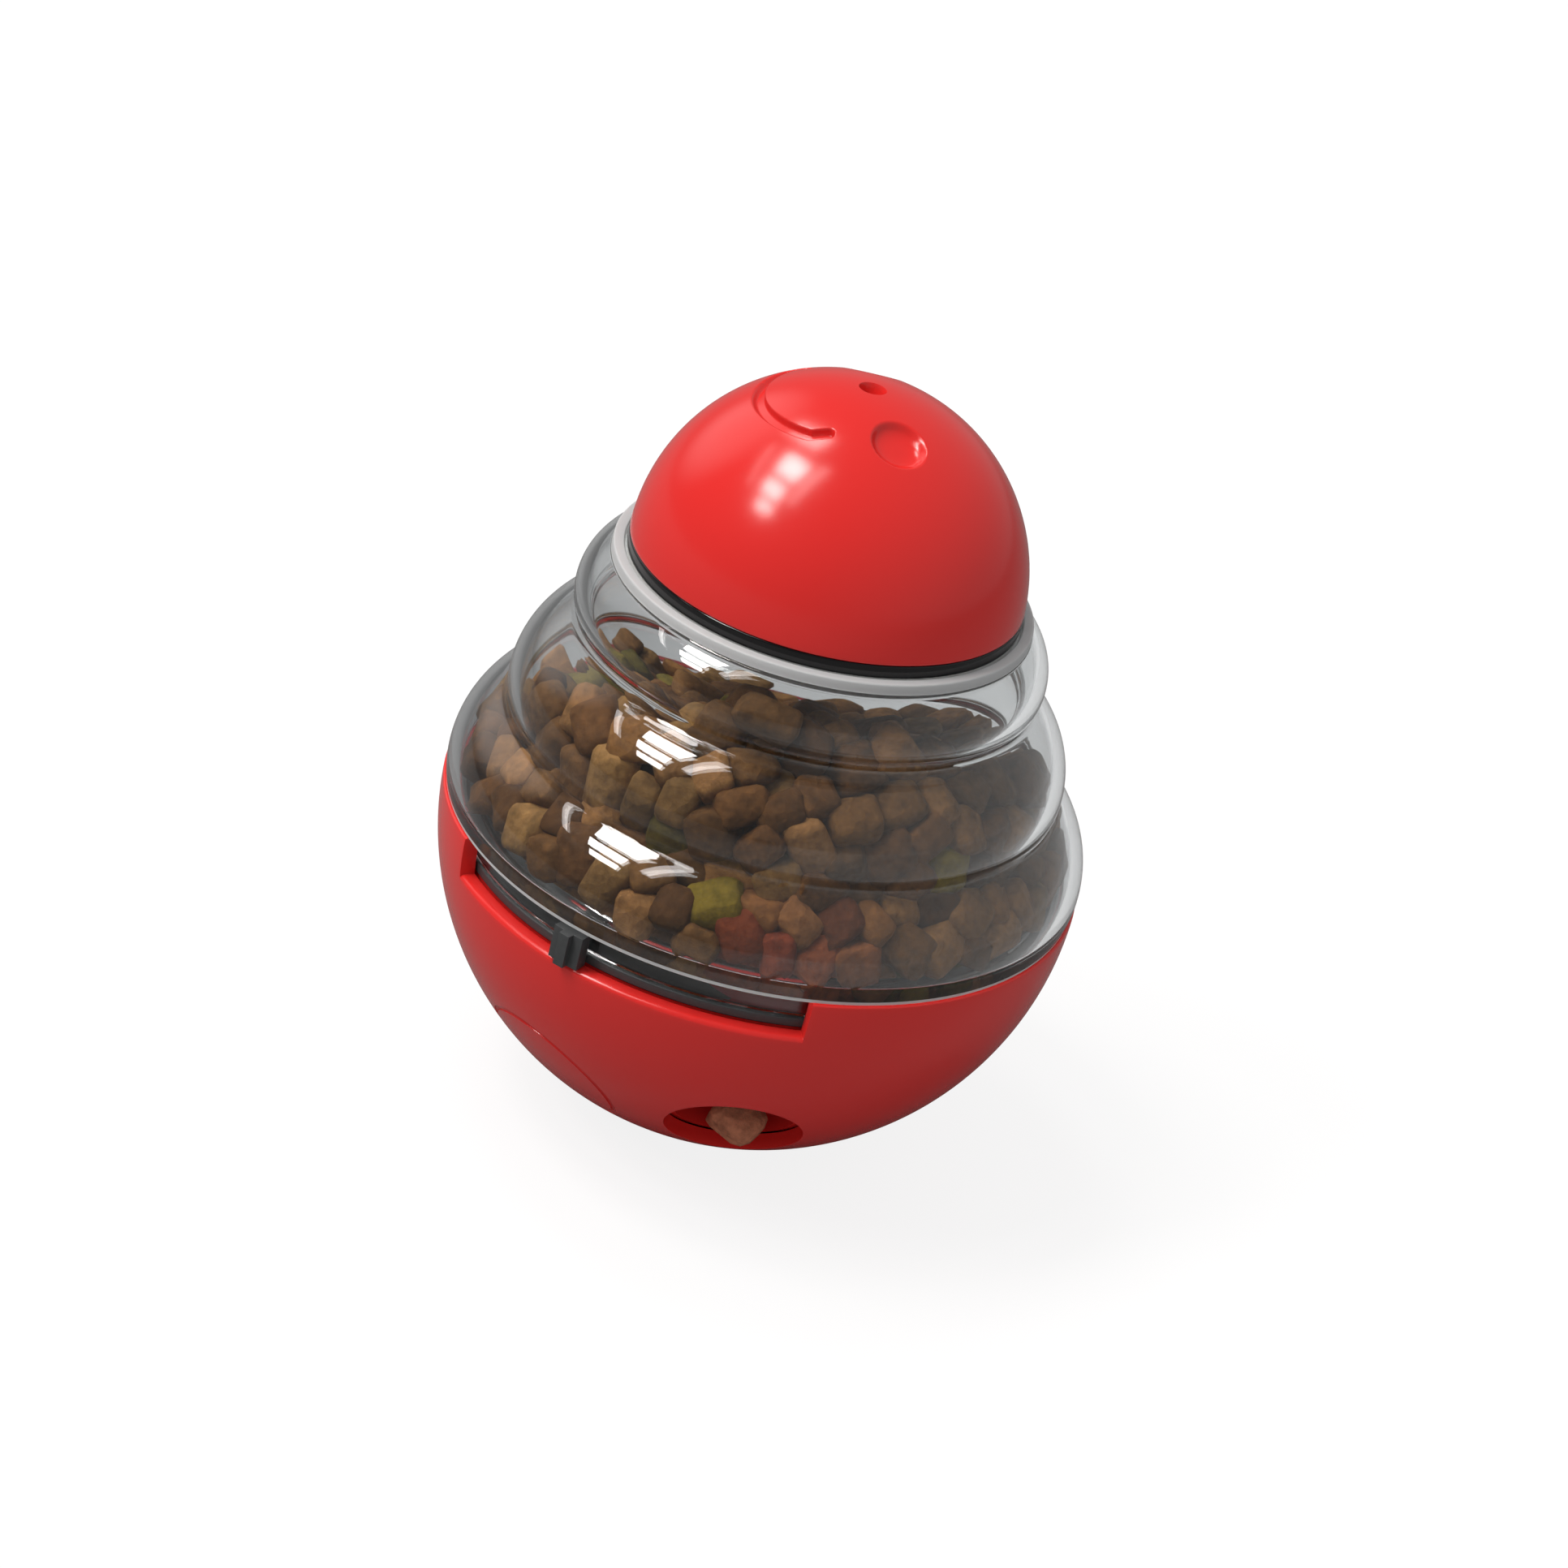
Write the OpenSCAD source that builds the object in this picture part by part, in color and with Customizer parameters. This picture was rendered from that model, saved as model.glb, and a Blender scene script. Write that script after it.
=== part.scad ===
// Tumbler treat ball: weighted round base, rotary gate, clear ring hopper and screw cap.
// Millimetres. Z is the ball's axis, the foot stands on Z = 0 and the outlet faces -Y.
// Azimuths are measured from the outlet, positive towards +X.

/* [Base] */
// Outer radius of the round base
base_r = 55; // [50:0.5:62]
// Wall of the base
base_wall = 2.6; // [2.2:0.1:3.4]
// Radius of the flat foot
foot_r = 10; // [6:0.5:14]
// Height of the seam above the centre of the round base
seam_rise = 0.5; // [0:0.1:2]
// Clearance between parts that move or push into each other
fit_gap = 0.3; // [0.2:0.05:0.4]

/* [Lever slot] */
// Azimuth of the middle of the slot
slot_az = -31.5; // [-45:0.5:-25]
// Sweep of the slot
slot_sweep = 73.3; // [60:0.1:85]
// Bevel along the outer edge of the sill
sill_bevel = 1.2; // [0.6:0.1:1.6]

/* [Outlet and chute] */
// Angle of the outlet's axis below the horizon
outlet_drop = 38.7; // [34:0.1:44]
// How much wider the hole in the base is than the chute's bore, in radius
outlet_step = 1.3; // [0.6:0.1:1.5]
// Wall of the chute
chute_wall = 1.8; // [1.6:0.1:2.4]
// Thickness of the fixed floor
floor_t = 3; // [2.6:0.1:4]

/* [Round outline on the base] */
// Azimuth of the outline's centre
ring_az = -47; // [-60:0.5:-40]
// Angle of the outline's centre below the horizon
ring_drop = 41; // [34:0.5:45]
// Radius of the outline
ring_r = 13; // [9:0.1:14]
// Width of the engraved line
ring_w = 0.8; // [0.5:0.1:1.2]
// Depth of the engraved line
ring_depth = 0.4; // [0.2:0.1:0.8]

/* [Gate and lever] */
// Thickness of the gate disc
gate_t = 1.6; // [1.4:0.1:2.4]
// Radius of the gate's hole
gate_hole_r = 11.8; // [10:0.1:13]
// Width of the gate's rim outside its hole
gate_rim = 2.9; // [2:0.1:5]
// How much the gate's hole is wider than the chute's bore, in radius
gate_lap = 1.5; // [1:0.1:2.5]
// Radius of the pivot post
post_r = 4; // [3.5:0.1:5]
// Running clearance of the gate's hub on the post, in radius
pivot_gap = 0.05; // [0.02:0.01:0.1]
// Wall of the gate's hub
hub_wall = 3; // [2:0.1:4]
// Height of the hub above the disc
hub_h = 2; // [1.5:0.1:3]
// Azimuth of the lever with the gate open
lever_az = -38.3; // [-42:0.1:-30]
// Sweep of the lever's thumb piece
lever_sweep = 5.9; // [5:0.1:8]
// How far the rib on the lever's face stands out of the base
lever_reach = 1.2; // [0.6:0.1:2.4]
// Sweep of that rib
lever_rib_sweep = 2; // [1.5:0.1:2.6]
// Sweep of the arm that joins the lever to the disc
lever_arm_sweep = 4.9; // [4:0.1:5]
// How much thinner the arm is than the disc, on each side
lever_arm_inset = 0.2; // [0.1:0.1:0.3]
// Space between the lever's top and the hopper's flange
lever_head_gap = 0.7; // [0.5:0.1:1.4]

/* [Clear hopper] */
// Wall of the hopper
dome_wall = 2.2; // [1.8:0.1:2.6]
// Step in from the base to the hopper at the seam
rim_step = 0.5; // [0.2:0.1:1]
// Radius of the lower groove between the rings
low_groove_r = 47.2; // [44:0.1:50]
// Height of the lower groove above the base's centre
low_groove_z = 16.6; // [14:0.1:19]
// Radius of the upper groove between the rings
high_groove_r = 38.2; // [36:0.1:41]
// Height of the upper groove above the base's centre
high_groove_z = 33.5; // [31:0.1:36]
// Height of the neck's seat above the base's centre
seat_z = 46.9; // [45:0.1:49]
// Bulge of the lowest ring beyond its chord
low_bulge = 3; // [2:0.05:4]
// Bulge of the middle ring beyond its chord
mid_bulge = 3.65; // [2.5:0.05:4.5]
// Bulge of the top ring beyond its chord
top_bulge = 3.85; // [3:0.05:4.5]
// Radius of the fillet in the grooves
groove_fillet = 1.5; // [0.8:0.1:2.5]
// Height above the seat at which the top ring's arc would end
top_arc_rise = 0.4; // [0:0.1:0.8]
// Depth of the skirt below the seam
skirt_h = 4.7; // [4:0.1:6]
// Thickness of the flange that carries the skirt
flange_t = 2.5; // [2:0.1:3.5]
// Number of bayonet lugs on the skirt
lug_count = 3; // [2:1:3]
// Azimuth of the first lug
lug_az = 50; // [45:1:60]
// Sweep of one lug
lug_sweep = 8; // [6:0.5:10]
// How far a lug stands out of the skirt
lug_reach = 1.2; // [0.8:0.1:1.4]
// Height of a lug
lug_h = 2; // [1.5:0.1:2.4]
// Twist that frees the lugs
dome_twist = 20; // [15:1:25]

/* [Neck and cap] */
// Outer radius of the cap
cap_r = 33.2; // [31:0.1:35]
// Wall of the cap
cap_wall = 3.2; // [2.8:0.1:3.8]
// Height of the cap's lower edge above the centre of its round
cap_edge_rise = 0.9; // [0.3:0.1:2]
// Height of the black collar that shows under the cap
collar_flange_h = 2.3; // [1.5:0.1:3]
// Thickness of the seal under the collar
seal_t = 1.3; // [1:0.1:2]
// Wall of the collar's threaded tube
collar_wall = 2; // [1.6:0.1:2.6]
// Height of the collar's threaded tube above its flange
collar_tube_h = 6; // [4:0.5:8]
// Wall of the neck
neck_wall = 2; // [1.6:0.1:2.6]
// Wall of the raised lip round the seat
lip_wall = 1.9; // [1.4:0.1:2.4]
// Height of the lip above the seat
lip_h = 1.5; // [1:0.1:2]

/* [Face on the cap] */
// Azimuth of the middle of the mouth
mouth_az = -85.5; // [-100:0.5:-75]
// Distance of the mouth arc's centre from the cap's axis
mouth_offset = 3.5; // [3:0.1:4]
// Radius of the mouth's arc
mouth_r = 14.2; // [13:0.1:15]
// Half sweep of the mouth's arc
mouth_half_sweep = 57; // [50:1:64]
// Width of the mouth's groove
mouth_w = 1.8; // [1.2:0.1:2.4]
// Depth of the mouth's groove
mouth_depth = 1.2; // [0.8:0.1:1.8]
// Length of the straight end of the mouth
mouth_end = 2.8; // [2:0.1:3.4]
// Angle by which the end turns away from the arc
mouth_end_turn = 28; // [10:1:40]
// Azimuth of an eye, measured from the middle of the forehead
eye_az = 78; // [70:0.5:85]
// Distance of an eye from the cap's axis
eye_offset = 13.7; // [12:0.1:15]
// Radius of an eye's dimple
eye_r = 4.1; // [3.5:0.1:4.6]
// Depth of an eye's dimple
eye_depth = 1.9; // [1.2:0.1:2.2]
// Draft of an eye's wall, in radius
eye_draft = 0.7; // [0.3:0.1:1]
// Radius of the hole at the pole
nose_r = 2.1; // [1.8:0.1:2.6]
// Depth of the hole at the pole
nose_depth = 2.4; // [1.6:0.1:2.6]

/* [Weight and screws] */
// Radius of the weight
ballast_r = 24; // [20:0.5:26]
// Thickness of the weight
ballast_h = 8; // [6:0.5:10]
// Height of the ribs under the weight at the middle of the base
rib_h = 3.4; // [2.5:0.1:5]
// Thickness of the ribs under the weight
rib_t = 1.6; // [1.2:0.1:2.4]
// Number of ribs under the weight
rib_count = 6; // [3:1:8]
// Radius of the centre post that the weight sits round
ballast_post_r = 4.5; // [4:0.1:6]
// Radius of the screws' shanks
screw_r = 1.4; // [1.2:0.1:1.6]
// Length of the screws below their heads
screw_l = 9; // [7:0.5:9.5]
// Clearance of a screw in its hole, in radius
screw_gap = 0.05; // [0.02:0.01:0.1]
// Height of the countersunk heads
csk_h = 1.5; // [1.2:0.1:1.8]
// Radius of the countersunk heads
csk_r = 2.8; // [2.4:0.1:3.2]
// Number of floor screws
floor_screw_count = 4; // [3:1:4]
// Radius of the posts for the floor screws
floor_post_r = 3.4; // [3:0.1:4]
// Space between those posts and the edge of the floor
floor_post_inset = 4; // [3:0.1:6]
// Height of the wide pan heads
pan_h = 2; // [1.6:0.1:2.6]
// How far a pan head reaches past the post below it
pan_reach = 2.5; // [1.5:0.1:3]
// Thickness of the gate's spring washer
washer_t = 0.5; // [0.4:0.1:0.8]
// Width of the spring washer
washer_w = 2; // [1:0.1:2.4]

/* [Hidden] */
$fn = 96;
// Overshoot of a cut past the face that it opens
over = 1;
red = "#d8282b";
clear = [0.72, 0.74, 0.75, 0.45];
dark = "#37393b";
black = "#1c1d1f";
milky = "#cfd0ce";
steel = "#b9bcc0";
iron = "#5d5f63";

// Heights from here on are measured from the centre of the round base
centre_z = sqrt(pow(base_r, 2) - pow(foot_r, 2));
base_in_r = base_r - base_wall;
seam_z = seam_rise;
skirt_z = seam_z - skirt_h;
gate_top = skirt_z - fit_gap;
gate_z = gate_top - gate_t;
sill_z = gate_z - fit_gap;
floor_top = gate_z - fit_gap;
floor_z = floor_top - floor_t;

// Radius inside the round base at a height, less the fit
function inside_r(z) = sqrt(pow(base_in_r, 2) - pow(z, 2)) - fit_gap;
gate_r = inside_r(gate_z);
floor_r = inside_r(floor_z);
skirt_r = inside_r(skirt_z);
skirt_in_r = skirt_r - dome_wall;
lug_r = skirt_r + lug_reach;

// The gate's hole, the chute below it and the chute's bend towards the outlet share one line
hole_at = gate_r - gate_rim - gate_hole_r;
chute_r = gate_hole_r - gate_lap;
outlet_r = chute_r + outlet_step;
bend_z = -hole_at * tan(outlet_drop);
hub_top = gate_top + hub_h;
post_top = hub_top + washer_t + screw_gap;
lever_r = base_r + lever_reach;
lever_in_r = skirt_r + 2 * fit_gap;
lever_top = seam_z - lever_head_gap;

// Stack of the neck: seat, seal, collar, cap
seal_top = seat_z + seal_t;
cap_edge_z = seal_top + collar_flange_h;
cap_z = cap_edge_z - cap_edge_rise;
collar_top = cap_edge_z + collar_tube_h;
collar_r = sqrt(pow(cap_r - cap_wall, 2) - pow(collar_top - cap_z, 2)) - fit_gap;
collar_in_r = collar_r - collar_wall;
neck_r = collar_in_r - fit_gap;
mouth_in_r = neck_r - neck_wall;
lip_in_r = cap_r + fit_gap;
lip_r = lip_in_r + lip_wall;

// The hopper's outline runs through these points, with one bulging arc from each to the next
rim_r = base_r - rim_step;
tier_points = [[rim_r, seam_z], [low_groove_r, low_groove_z], [high_groove_r, high_groove_z],
               [lip_in_r, seat_z + top_arc_rise]];
tier_bulges = [low_bulge, mid_bulge, top_bulge];
function arc_r(p, q, bulge) = (pow(norm(q - p) / 2, 2) + pow(bulge, 2)) / (2 * bulge);
function outward(p, q) = [q.y - p.y, p.x - q.x] / norm(q - p);
function arc_centre(p, q, bulge) = (p + q) / 2 - outward(p, q) * (arc_r(p, q, bulge) - bulge);
tier_r = [for (i = [0 : 2]) arc_r(tier_points[i], tier_points[i + 1], tier_bulges[i])];
tier_at = [for (i = [0 : 2]) arc_centre(tier_points[i], tier_points[i + 1], tier_bulges[i])];

// Outer crossing of two circles, which is where a fillet that touches both rings has its centre
function crossing_along(d, r1, r2) = (r1 * r1 - r2 * r2 + d * d) / (2 * d);
function crossing(c1, r1, c2, r2, along) =
  c1 + along * (c2 - c1) / norm(c2 - c1) + sqrt(r1 * r1 - along * along) * outward(c1, c2);
function fillet_at(i) =
  let (r1 = tier_r[i] + groove_fillet, r2 = tier_r[i + 1] + groove_fillet)
  crossing(tier_at[i], r1, tier_at[i + 1], r2, crossing_along(norm(tier_at[i + 1] - tier_at[i]), r1, r2));

// The weight rests on ribs that rise from the inside of the base
ballast_z = -base_in_r + rib_h;
ballast_top = ballast_z + ballast_h;
floor_post_at = floor_r - floor_post_inset - floor_post_r;
nose_floor_r = cap_r - nose_depth;

// Shared placing and sections
module from_centre() { translate([0, 0, centre_z]) children(); }
module sector(az, sweep) { rotate([0, 0, az - 90 - sweep / 2]) rotate_extrude(angle = sweep) children(); }
module towards(az, drop) { rotate([0, 0, az]) rotate([90 + drop, 0, 0]) children(); }
module band(r0, r1, z0, z1) { translate([r0, z0]) square([r1 - r0, z1 - z0]); }
module each_floor_screw() {
  for (i = [0 : floor_screw_count - 1])
    rotate([0, 0, (i + 0.5) * 360 / floor_screw_count]) translate([0, -floor_post_at, 0]) children();
}
module screw_hole(top) {
  translate([0, 0, top - screw_l - over]) cylinder(r = screw_r + screw_gap, h = screw_l + 2 * over);
}

// Base shell
module bowl() {
  rotate_extrude() intersection() {
    difference() {
      circle(base_r);
      circle(base_in_r);
    }
    band(0, base_r, -centre_z, seam_z);
  }
}
module floor_posts() {
  intersection() {
    each_floor_screw() translate([0, 0, -base_r]) cylinder(r = floor_post_r, h = base_r + floor_z);
    sphere(base_r - base_wall / 2);
  }
}
module ballast_seat() {
  intersection() {
    union() {
      translate([0, 0, -base_r]) cylinder(r = ballast_post_r, h = base_r + ballast_top);
      for (i = [0 : rib_count - 1])
        rotate([0, 0, i * 360 / rib_count])
          translate([0, -rib_t / 2, -base_r]) cube([ballast_r, rib_t, base_r + ballast_z]);
    }
    sphere(base_r - base_wall / 2);
    translate([0, 0, -centre_z]) cylinder(r = base_r, h = 2 * base_r);
  }
}
module lever_slot() {
  sector(slot_az, slot_sweep) {
    band(base_in_r - 2 * base_wall, base_r + over, sill_z, seam_z + over);
    polygon([[base_r - sill_bevel, sill_z], [base_r + over, sill_z - sill_bevel - over],
             [base_r + over, sill_z]]);
  }
}
module bayonet_grooves() {
  wide = lug_sweep + fit_gap;
  for (i = [0 : lug_count - 1]) {
    az = lug_az + i * 90;
    sector(az + dome_twist / 2, wide + dome_twist)
      band(base_in_r - base_wall, lug_r + fit_gap, skirt_z - fit_gap, skirt_z + lug_h + fit_gap);
    sector(az + dome_twist, wide + 2 * fit_gap)
      band(base_in_r - base_wall, lug_r + 2 * fit_gap, skirt_z, seam_z + over);
  }
}
module round_outline() {
  towards(ring_az, ring_drop)
    translate([0, 0, sqrt(pow(base_r, 2) - pow(ring_r, 2)) - ring_depth])
      rotate_extrude() band(ring_r - ring_w / 2, ring_r + ring_w / 2, 0, base_wall);
}
module base_shell() {
  color(red) from_centre() difference() {
    union() {
      bowl();
      floor_posts();
      ballast_seat();
    }
    lever_slot();
    bayonet_grooves();
    round_outline();
    towards(0, outlet_drop) translate([0, 0, base_in_r - 2 * base_wall]) cylinder(r = outlet_r, h = base_r);
    each_floor_screw() screw_hole(floor_top);
    screw_hole(ballast_top);
  }
}

// Weight
module ballast_weight() {
  color(iron) from_centre() difference() {
    intersection() {
      translate([0, 0, ballast_z]) cylinder(r = ballast_r, h = ballast_h);
      sphere(base_in_r - fit_gap);
    }
    translate([0, 0, ballast_z - over]) cylinder(r = ballast_post_r + fit_gap, h = ballast_h + 2 * over);
  }
}

// Screws
module pan_screw(head_r) {
  rotate_extrude() {
    band(0, screw_r, -screw_l, 0);
    band(0, head_r, 0, pan_h / 2);
    intersection() {
      translate([0, pan_h - head_r * 2]) circle(head_r * 2);
      band(0, head_r, 0, pan_h);
    }
  }
}
module ballast_screw() {
  color(steel) from_centre() translate([0, 0, ballast_top]) pan_screw(ballast_post_r + pan_reach);
}
module gate_screw() {
  color(steel) from_centre() translate([0, 0, post_top]) pan_screw(post_r + pan_reach);
}
module csk_profile(grow) {
  polygon([[0, 0], [csk_r + grow, 0], [screw_r + grow, -csk_h], [screw_r + grow, -screw_l], [0, -screw_l]]);
}
module floor_screws() {
  color(steel) from_centre() each_floor_screw() translate([0, 0, floor_top]) rotate_extrude() csk_profile(0);
}

// Fixed floor with the chute
module chute_outside() {
  r = chute_r + chute_wall;
  intersection() {
    union() {
      translate([0, -hole_at, bend_z]) cylinder(r = r, h = floor_z - bend_z + floor_t / 2);
      translate([0, -hole_at, bend_z]) sphere(r);
      translate([0, -hole_at, bend_z]) towards(0, outlet_drop) cylinder(r = r, h = base_r);
    }
    sphere(base_in_r - fit_gap);
  }
}
module chute_bore() {
  translate([0, -hole_at, bend_z]) {
    cylinder(r = chute_r, h = floor_top - bend_z + over);
    sphere(chute_r);
    towards(0, outlet_drop) cylinder(r = chute_r, h = base_r);
  }
}
module chute_floor() {
  color(red) from_centre() difference() {
    union() {
      translate([0, 0, floor_z]) cylinder(r = floor_r, h = floor_t);
      translate([0, 0, post_top - screw_l - 2 * over]) cylinder(r = post_r, h = screw_l + 2 * over);
      chute_outside();
    }
    chute_bore();
    screw_hole(post_top);
    each_floor_screw() translate([0, 0, floor_top]) rotate_extrude() csk_profile(screw_gap);
  }
}

// Gate with its lever
module lever() {
  sector(lever_az, lever_arm_sweep)
    band(gate_r - gate_rim, lever_in_r + over, gate_z + lever_arm_inset, gate_top - lever_arm_inset);
  sector(lever_az, lever_sweep) band(lever_in_r, base_r, gate_z, lever_top);
  sector(lever_az, lever_rib_sweep) band(lever_in_r + over, lever_r, gate_z, lever_top);
}
module gate_disc() {
  color(dark) from_centre() difference() {
    union() {
      translate([0, 0, gate_z]) cylinder(r = gate_r, h = gate_t);
      translate([0, 0, floor_top]) cylinder(r = post_r + hub_wall, h = hub_top - floor_top);
      lever();
    }
    translate([0, 0, floor_top - over]) cylinder(r = post_r + pivot_gap, h = hub_top - floor_top + 2 * over);
    translate([0, -hole_at, gate_z - over]) cylinder(r = gate_hole_r, h = gate_t + 2 * over);
  }
}
module gate_washer() {
  color(steel) from_centre() rotate_extrude()
    band(post_r + fit_gap, post_r + fit_gap + washer_w, hub_top, hub_top + washer_t);
}

// Clear hopper
module tiers(inset) {
  for (i = [0 : 2]) translate(tier_at[i]) circle(tier_r[i] - inset);
  polygon(concat([[0, seam_z]], [for (p = tier_points) p - [inset, 0]], [[0, seat_z + top_arc_rise]]));
}
module groove_rounds(grow) { for (i = [0 : 1]) translate(fillet_at(i)) circle(groove_fillet + grow); }
module groove_fills() { for (i = [0 : 1]) polygon([tier_at[i], fillet_at(i), tier_at[i + 1]]); }
module dome_outside() {
  intersection() {
    difference() {
      union() {
        tiers(0);
        groove_fills();
      }
      groove_rounds(0);
    }
    band(0, base_r, seam_z, seat_z);
  }
  band(lip_in_r, lip_r, seat_z - dome_wall / 2, seat_z + lip_h);
  band(0, neck_r, seat_z - dome_wall / 2, collar_top - fit_gap);
  band(0, skirt_r, skirt_z, seam_z + flange_t / 2);
}
module dome_inside() {
  band(0, skirt_in_r, skirt_z - over, seam_z + flange_t);
  intersection() {
    difference() {
      tiers(dome_wall);
      groove_rounds(dome_wall);
    }
    band(0, base_r, seam_z + flange_t, seat_z - dome_wall);
  }
  band(0, mouth_in_r, seat_z - 2 * dome_wall, collar_top + over);
}
module clear_dome() {
  color(clear) from_centre() {
    rotate_extrude() difference() {
      dome_outside();
      dome_inside();
    }
    for (i = [0 : lug_count - 1])
      sector(lug_az + i * 90, lug_sweep) band(skirt_r - dome_wall / 2, lug_r, skirt_z, skirt_z + lug_h);
  }
}

// Cap
module cap_seal() {
  color(milky) from_centre() rotate_extrude() band(neck_r + fit_gap, cap_r - fit_gap, seat_z, seal_top);
}
module cap_collar() {
  color(black) from_centre() rotate_extrude() {
    band(collar_in_r, cap_r, seal_top, cap_edge_z);
    band(collar_in_r, collar_r, seal_top, collar_top);
  }
}
module mouth_outline() {
  rotate([0, 0, mouth_az]) translate([0, -mouth_offset]) {
    intersection() {
      difference() {
        circle(mouth_r + mouth_w / 2);
        circle(mouth_r - mouth_w / 2);
      }
      polygon([[0, 0], for (a = [-mouth_half_sweep : mouth_half_sweep : mouth_half_sweep])
               2 * cap_r * [sin(a), -cos(a)]]);
    }
    for (side = [-1, 1])
      rotate([0, 0, side * mouth_half_sweep]) translate([0, -mouth_r])
        rotate([0, 0, side > 0 ? mouth_end_turn : 180 - mouth_end_turn]) {
          circle(mouth_w / 2);
          translate([0, -mouth_w / 2]) square([mouth_end, mouth_w]);
          translate([mouth_end, 0]) circle(mouth_w / 2);
        }
  }
}
module face() {
  difference() {
    linear_extrude(cap_r + over) mouth_outline();
    sphere(cap_r - mouth_depth);
  }
  for (side = [-1, 1])
    rotate([0, 0, mouth_az + 180 + side * eye_az]) rotate([asin(eye_offset / cap_r), 0, 0])
      translate([0, 0, cap_r - eye_depth])
        cylinder(r1 = eye_r - eye_draft, r2 = eye_r + eye_draft, h = 2 * eye_depth);
  translate([0, 0, nose_floor_r]) cylinder(r = nose_r, h = nose_depth + over);
}
module cap_shell() {
  color(red) from_centre() translate([0, 0, cap_z]) difference() {
    rotate_extrude() difference() {
      intersection() {
        circle(cap_r);
        band(0, cap_r, cap_edge_rise, cap_r);
      }
      circle(cap_r - cap_wall);
    }
    face();
  }
}

base_shell();
ballast_weight();
ballast_screw();
chute_floor();
floor_screws();
gate_disc();
gate_washer();
gate_screw();
clear_dome();
cap_seal();
cap_collar();
cap_shell();
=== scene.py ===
# %% [markdown]
# # A tumbler treat ball
# A round red base with a weight low inside, a clear hopper of three stacked rings, a rotary gate that a
# lever turns, and a red screw cap with a simple smiling face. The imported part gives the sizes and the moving
# bodies. This lesson gives those bodies their looks: soft moulded edges, clear smoked plastic and dry food.

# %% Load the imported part
import math

import bpy
import numpy as np
from mathutils import Matrix, Vector


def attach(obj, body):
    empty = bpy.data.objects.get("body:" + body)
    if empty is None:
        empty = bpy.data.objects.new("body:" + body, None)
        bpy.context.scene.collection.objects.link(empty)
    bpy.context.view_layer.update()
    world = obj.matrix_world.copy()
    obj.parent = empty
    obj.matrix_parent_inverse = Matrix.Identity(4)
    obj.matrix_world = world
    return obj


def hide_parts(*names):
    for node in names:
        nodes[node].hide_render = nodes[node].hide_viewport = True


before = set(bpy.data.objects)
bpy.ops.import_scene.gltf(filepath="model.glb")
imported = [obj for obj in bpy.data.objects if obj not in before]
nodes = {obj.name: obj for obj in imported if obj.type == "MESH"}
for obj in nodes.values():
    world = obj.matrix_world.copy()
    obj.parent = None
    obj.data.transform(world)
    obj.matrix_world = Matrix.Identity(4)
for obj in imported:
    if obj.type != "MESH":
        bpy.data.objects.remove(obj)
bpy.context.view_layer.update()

# %% [markdown]
# ## Sizes
# The part is described in millimetres from the centre of the round base, which stands a little over its
# flat foot. Blender works in metres from the foot. One function changes the first into the second, so that
# every size below can be read beside the drawing.

# %% Sizes of the ball in millimetres
MM = 0.001
FIT = 0.3
BASE_R, BASE_WALL, FOOT_R = 55.0, 2.6, 10.0
BASE_IN_R = BASE_R - BASE_WALL
CENTRE_Z = math.sqrt(BASE_R ** 2 - FOOT_R ** 2)
SEAM_Z, SKIRT_L, GATE_WALL = 0.5, 4.7, 1.6
SKIRT_Z = SEAM_Z - SKIRT_L
GATE_TOP = SKIRT_Z - FIT
GATE_Z = GATE_TOP - GATE_WALL
SILL_Z = GATE_Z - FIT
SEAT_Z, SEAL_WALL, FLANGE_WALL, COLLAR_L = 46.9, 1.3, 2.3, 6.0
COLLAR_Z = SEAT_Z + SEAL_WALL
CAP_EDGE_Z = COLLAR_Z + FLANGE_WALL
COLLAR_TOP = CAP_EDGE_Z + COLLAR_L
CAP_R, CAP_WALL, CAP_DROP = 33.2, 3.2, 0.9
CAP_Z = CAP_EDGE_Z - CAP_DROP
print("base centre is", round(CENTRE_Z, 2), "mm over the foot")


# %% Places and radii
def inside_r(z):
    """Radius inside the round base at a height, less the fit."""
    return math.sqrt(BASE_IN_R ** 2 - z ** 2) - FIT


def place(r, az, z):
    """A point in metres. Azimuth is in degrees from the outlet at -Y, positive towards +X."""
    turn = math.radians(az)
    return Vector((r * math.sin(turn), -r * math.cos(turn), z + CENTRE_Z)) * MM


GATE_R = inside_r(GATE_Z)
SKIRT_R = inside_r(SKIRT_Z)
GATE_RIM, GATE_HOLE_R = 2.9, 11.8
HOLE_AT = GATE_R - GATE_RIM - GATE_HOLE_R
print("gate radius", round(GATE_R, 2), "with its hole at", round(HOLE_AT, 2))

# %% [markdown]
# ## The camera
# A long lens looks down on the ball from the front left. The picture was taken with the camera rolled, so
# the ball leans to the right in it while the part itself stands upright. Aiming the camera at the ball would
# lose that roll, so it is set by its own three axes.

# %% Camera
camera_data = bpy.data.cameras.new("camera")
camera_data.lens = 87.0
camera_data.sensor_width = 36.0
camera_data.clip_start = 0.01
camera_data.clip_end = 20.0
camera = bpy.data.objects.new("camera", camera_data)
bpy.context.scene.collection.objects.link(camera)
RIGHT = Vector((0.97402, -0.06326, 0.21743))
UP = Vector((-0.15731, 0.50164, 0.85066))
FORWARD = Vector((0.16288, 0.86276, -0.47865))
camera.matrix_world = Matrix((
    (RIGHT.x, UP.x, -FORWARD.x, -0.1026),
    (RIGHT.y, UP.y, -FORWARD.y, -0.5535),
    (RIGHT.z, UP.z, -FORWARD.z, 0.3699),
    (0, 0, 0, 1)))
bpy.context.scene.camera = camera
print("camera stands", round(camera.location.length, 3), "m from the foot")

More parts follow.
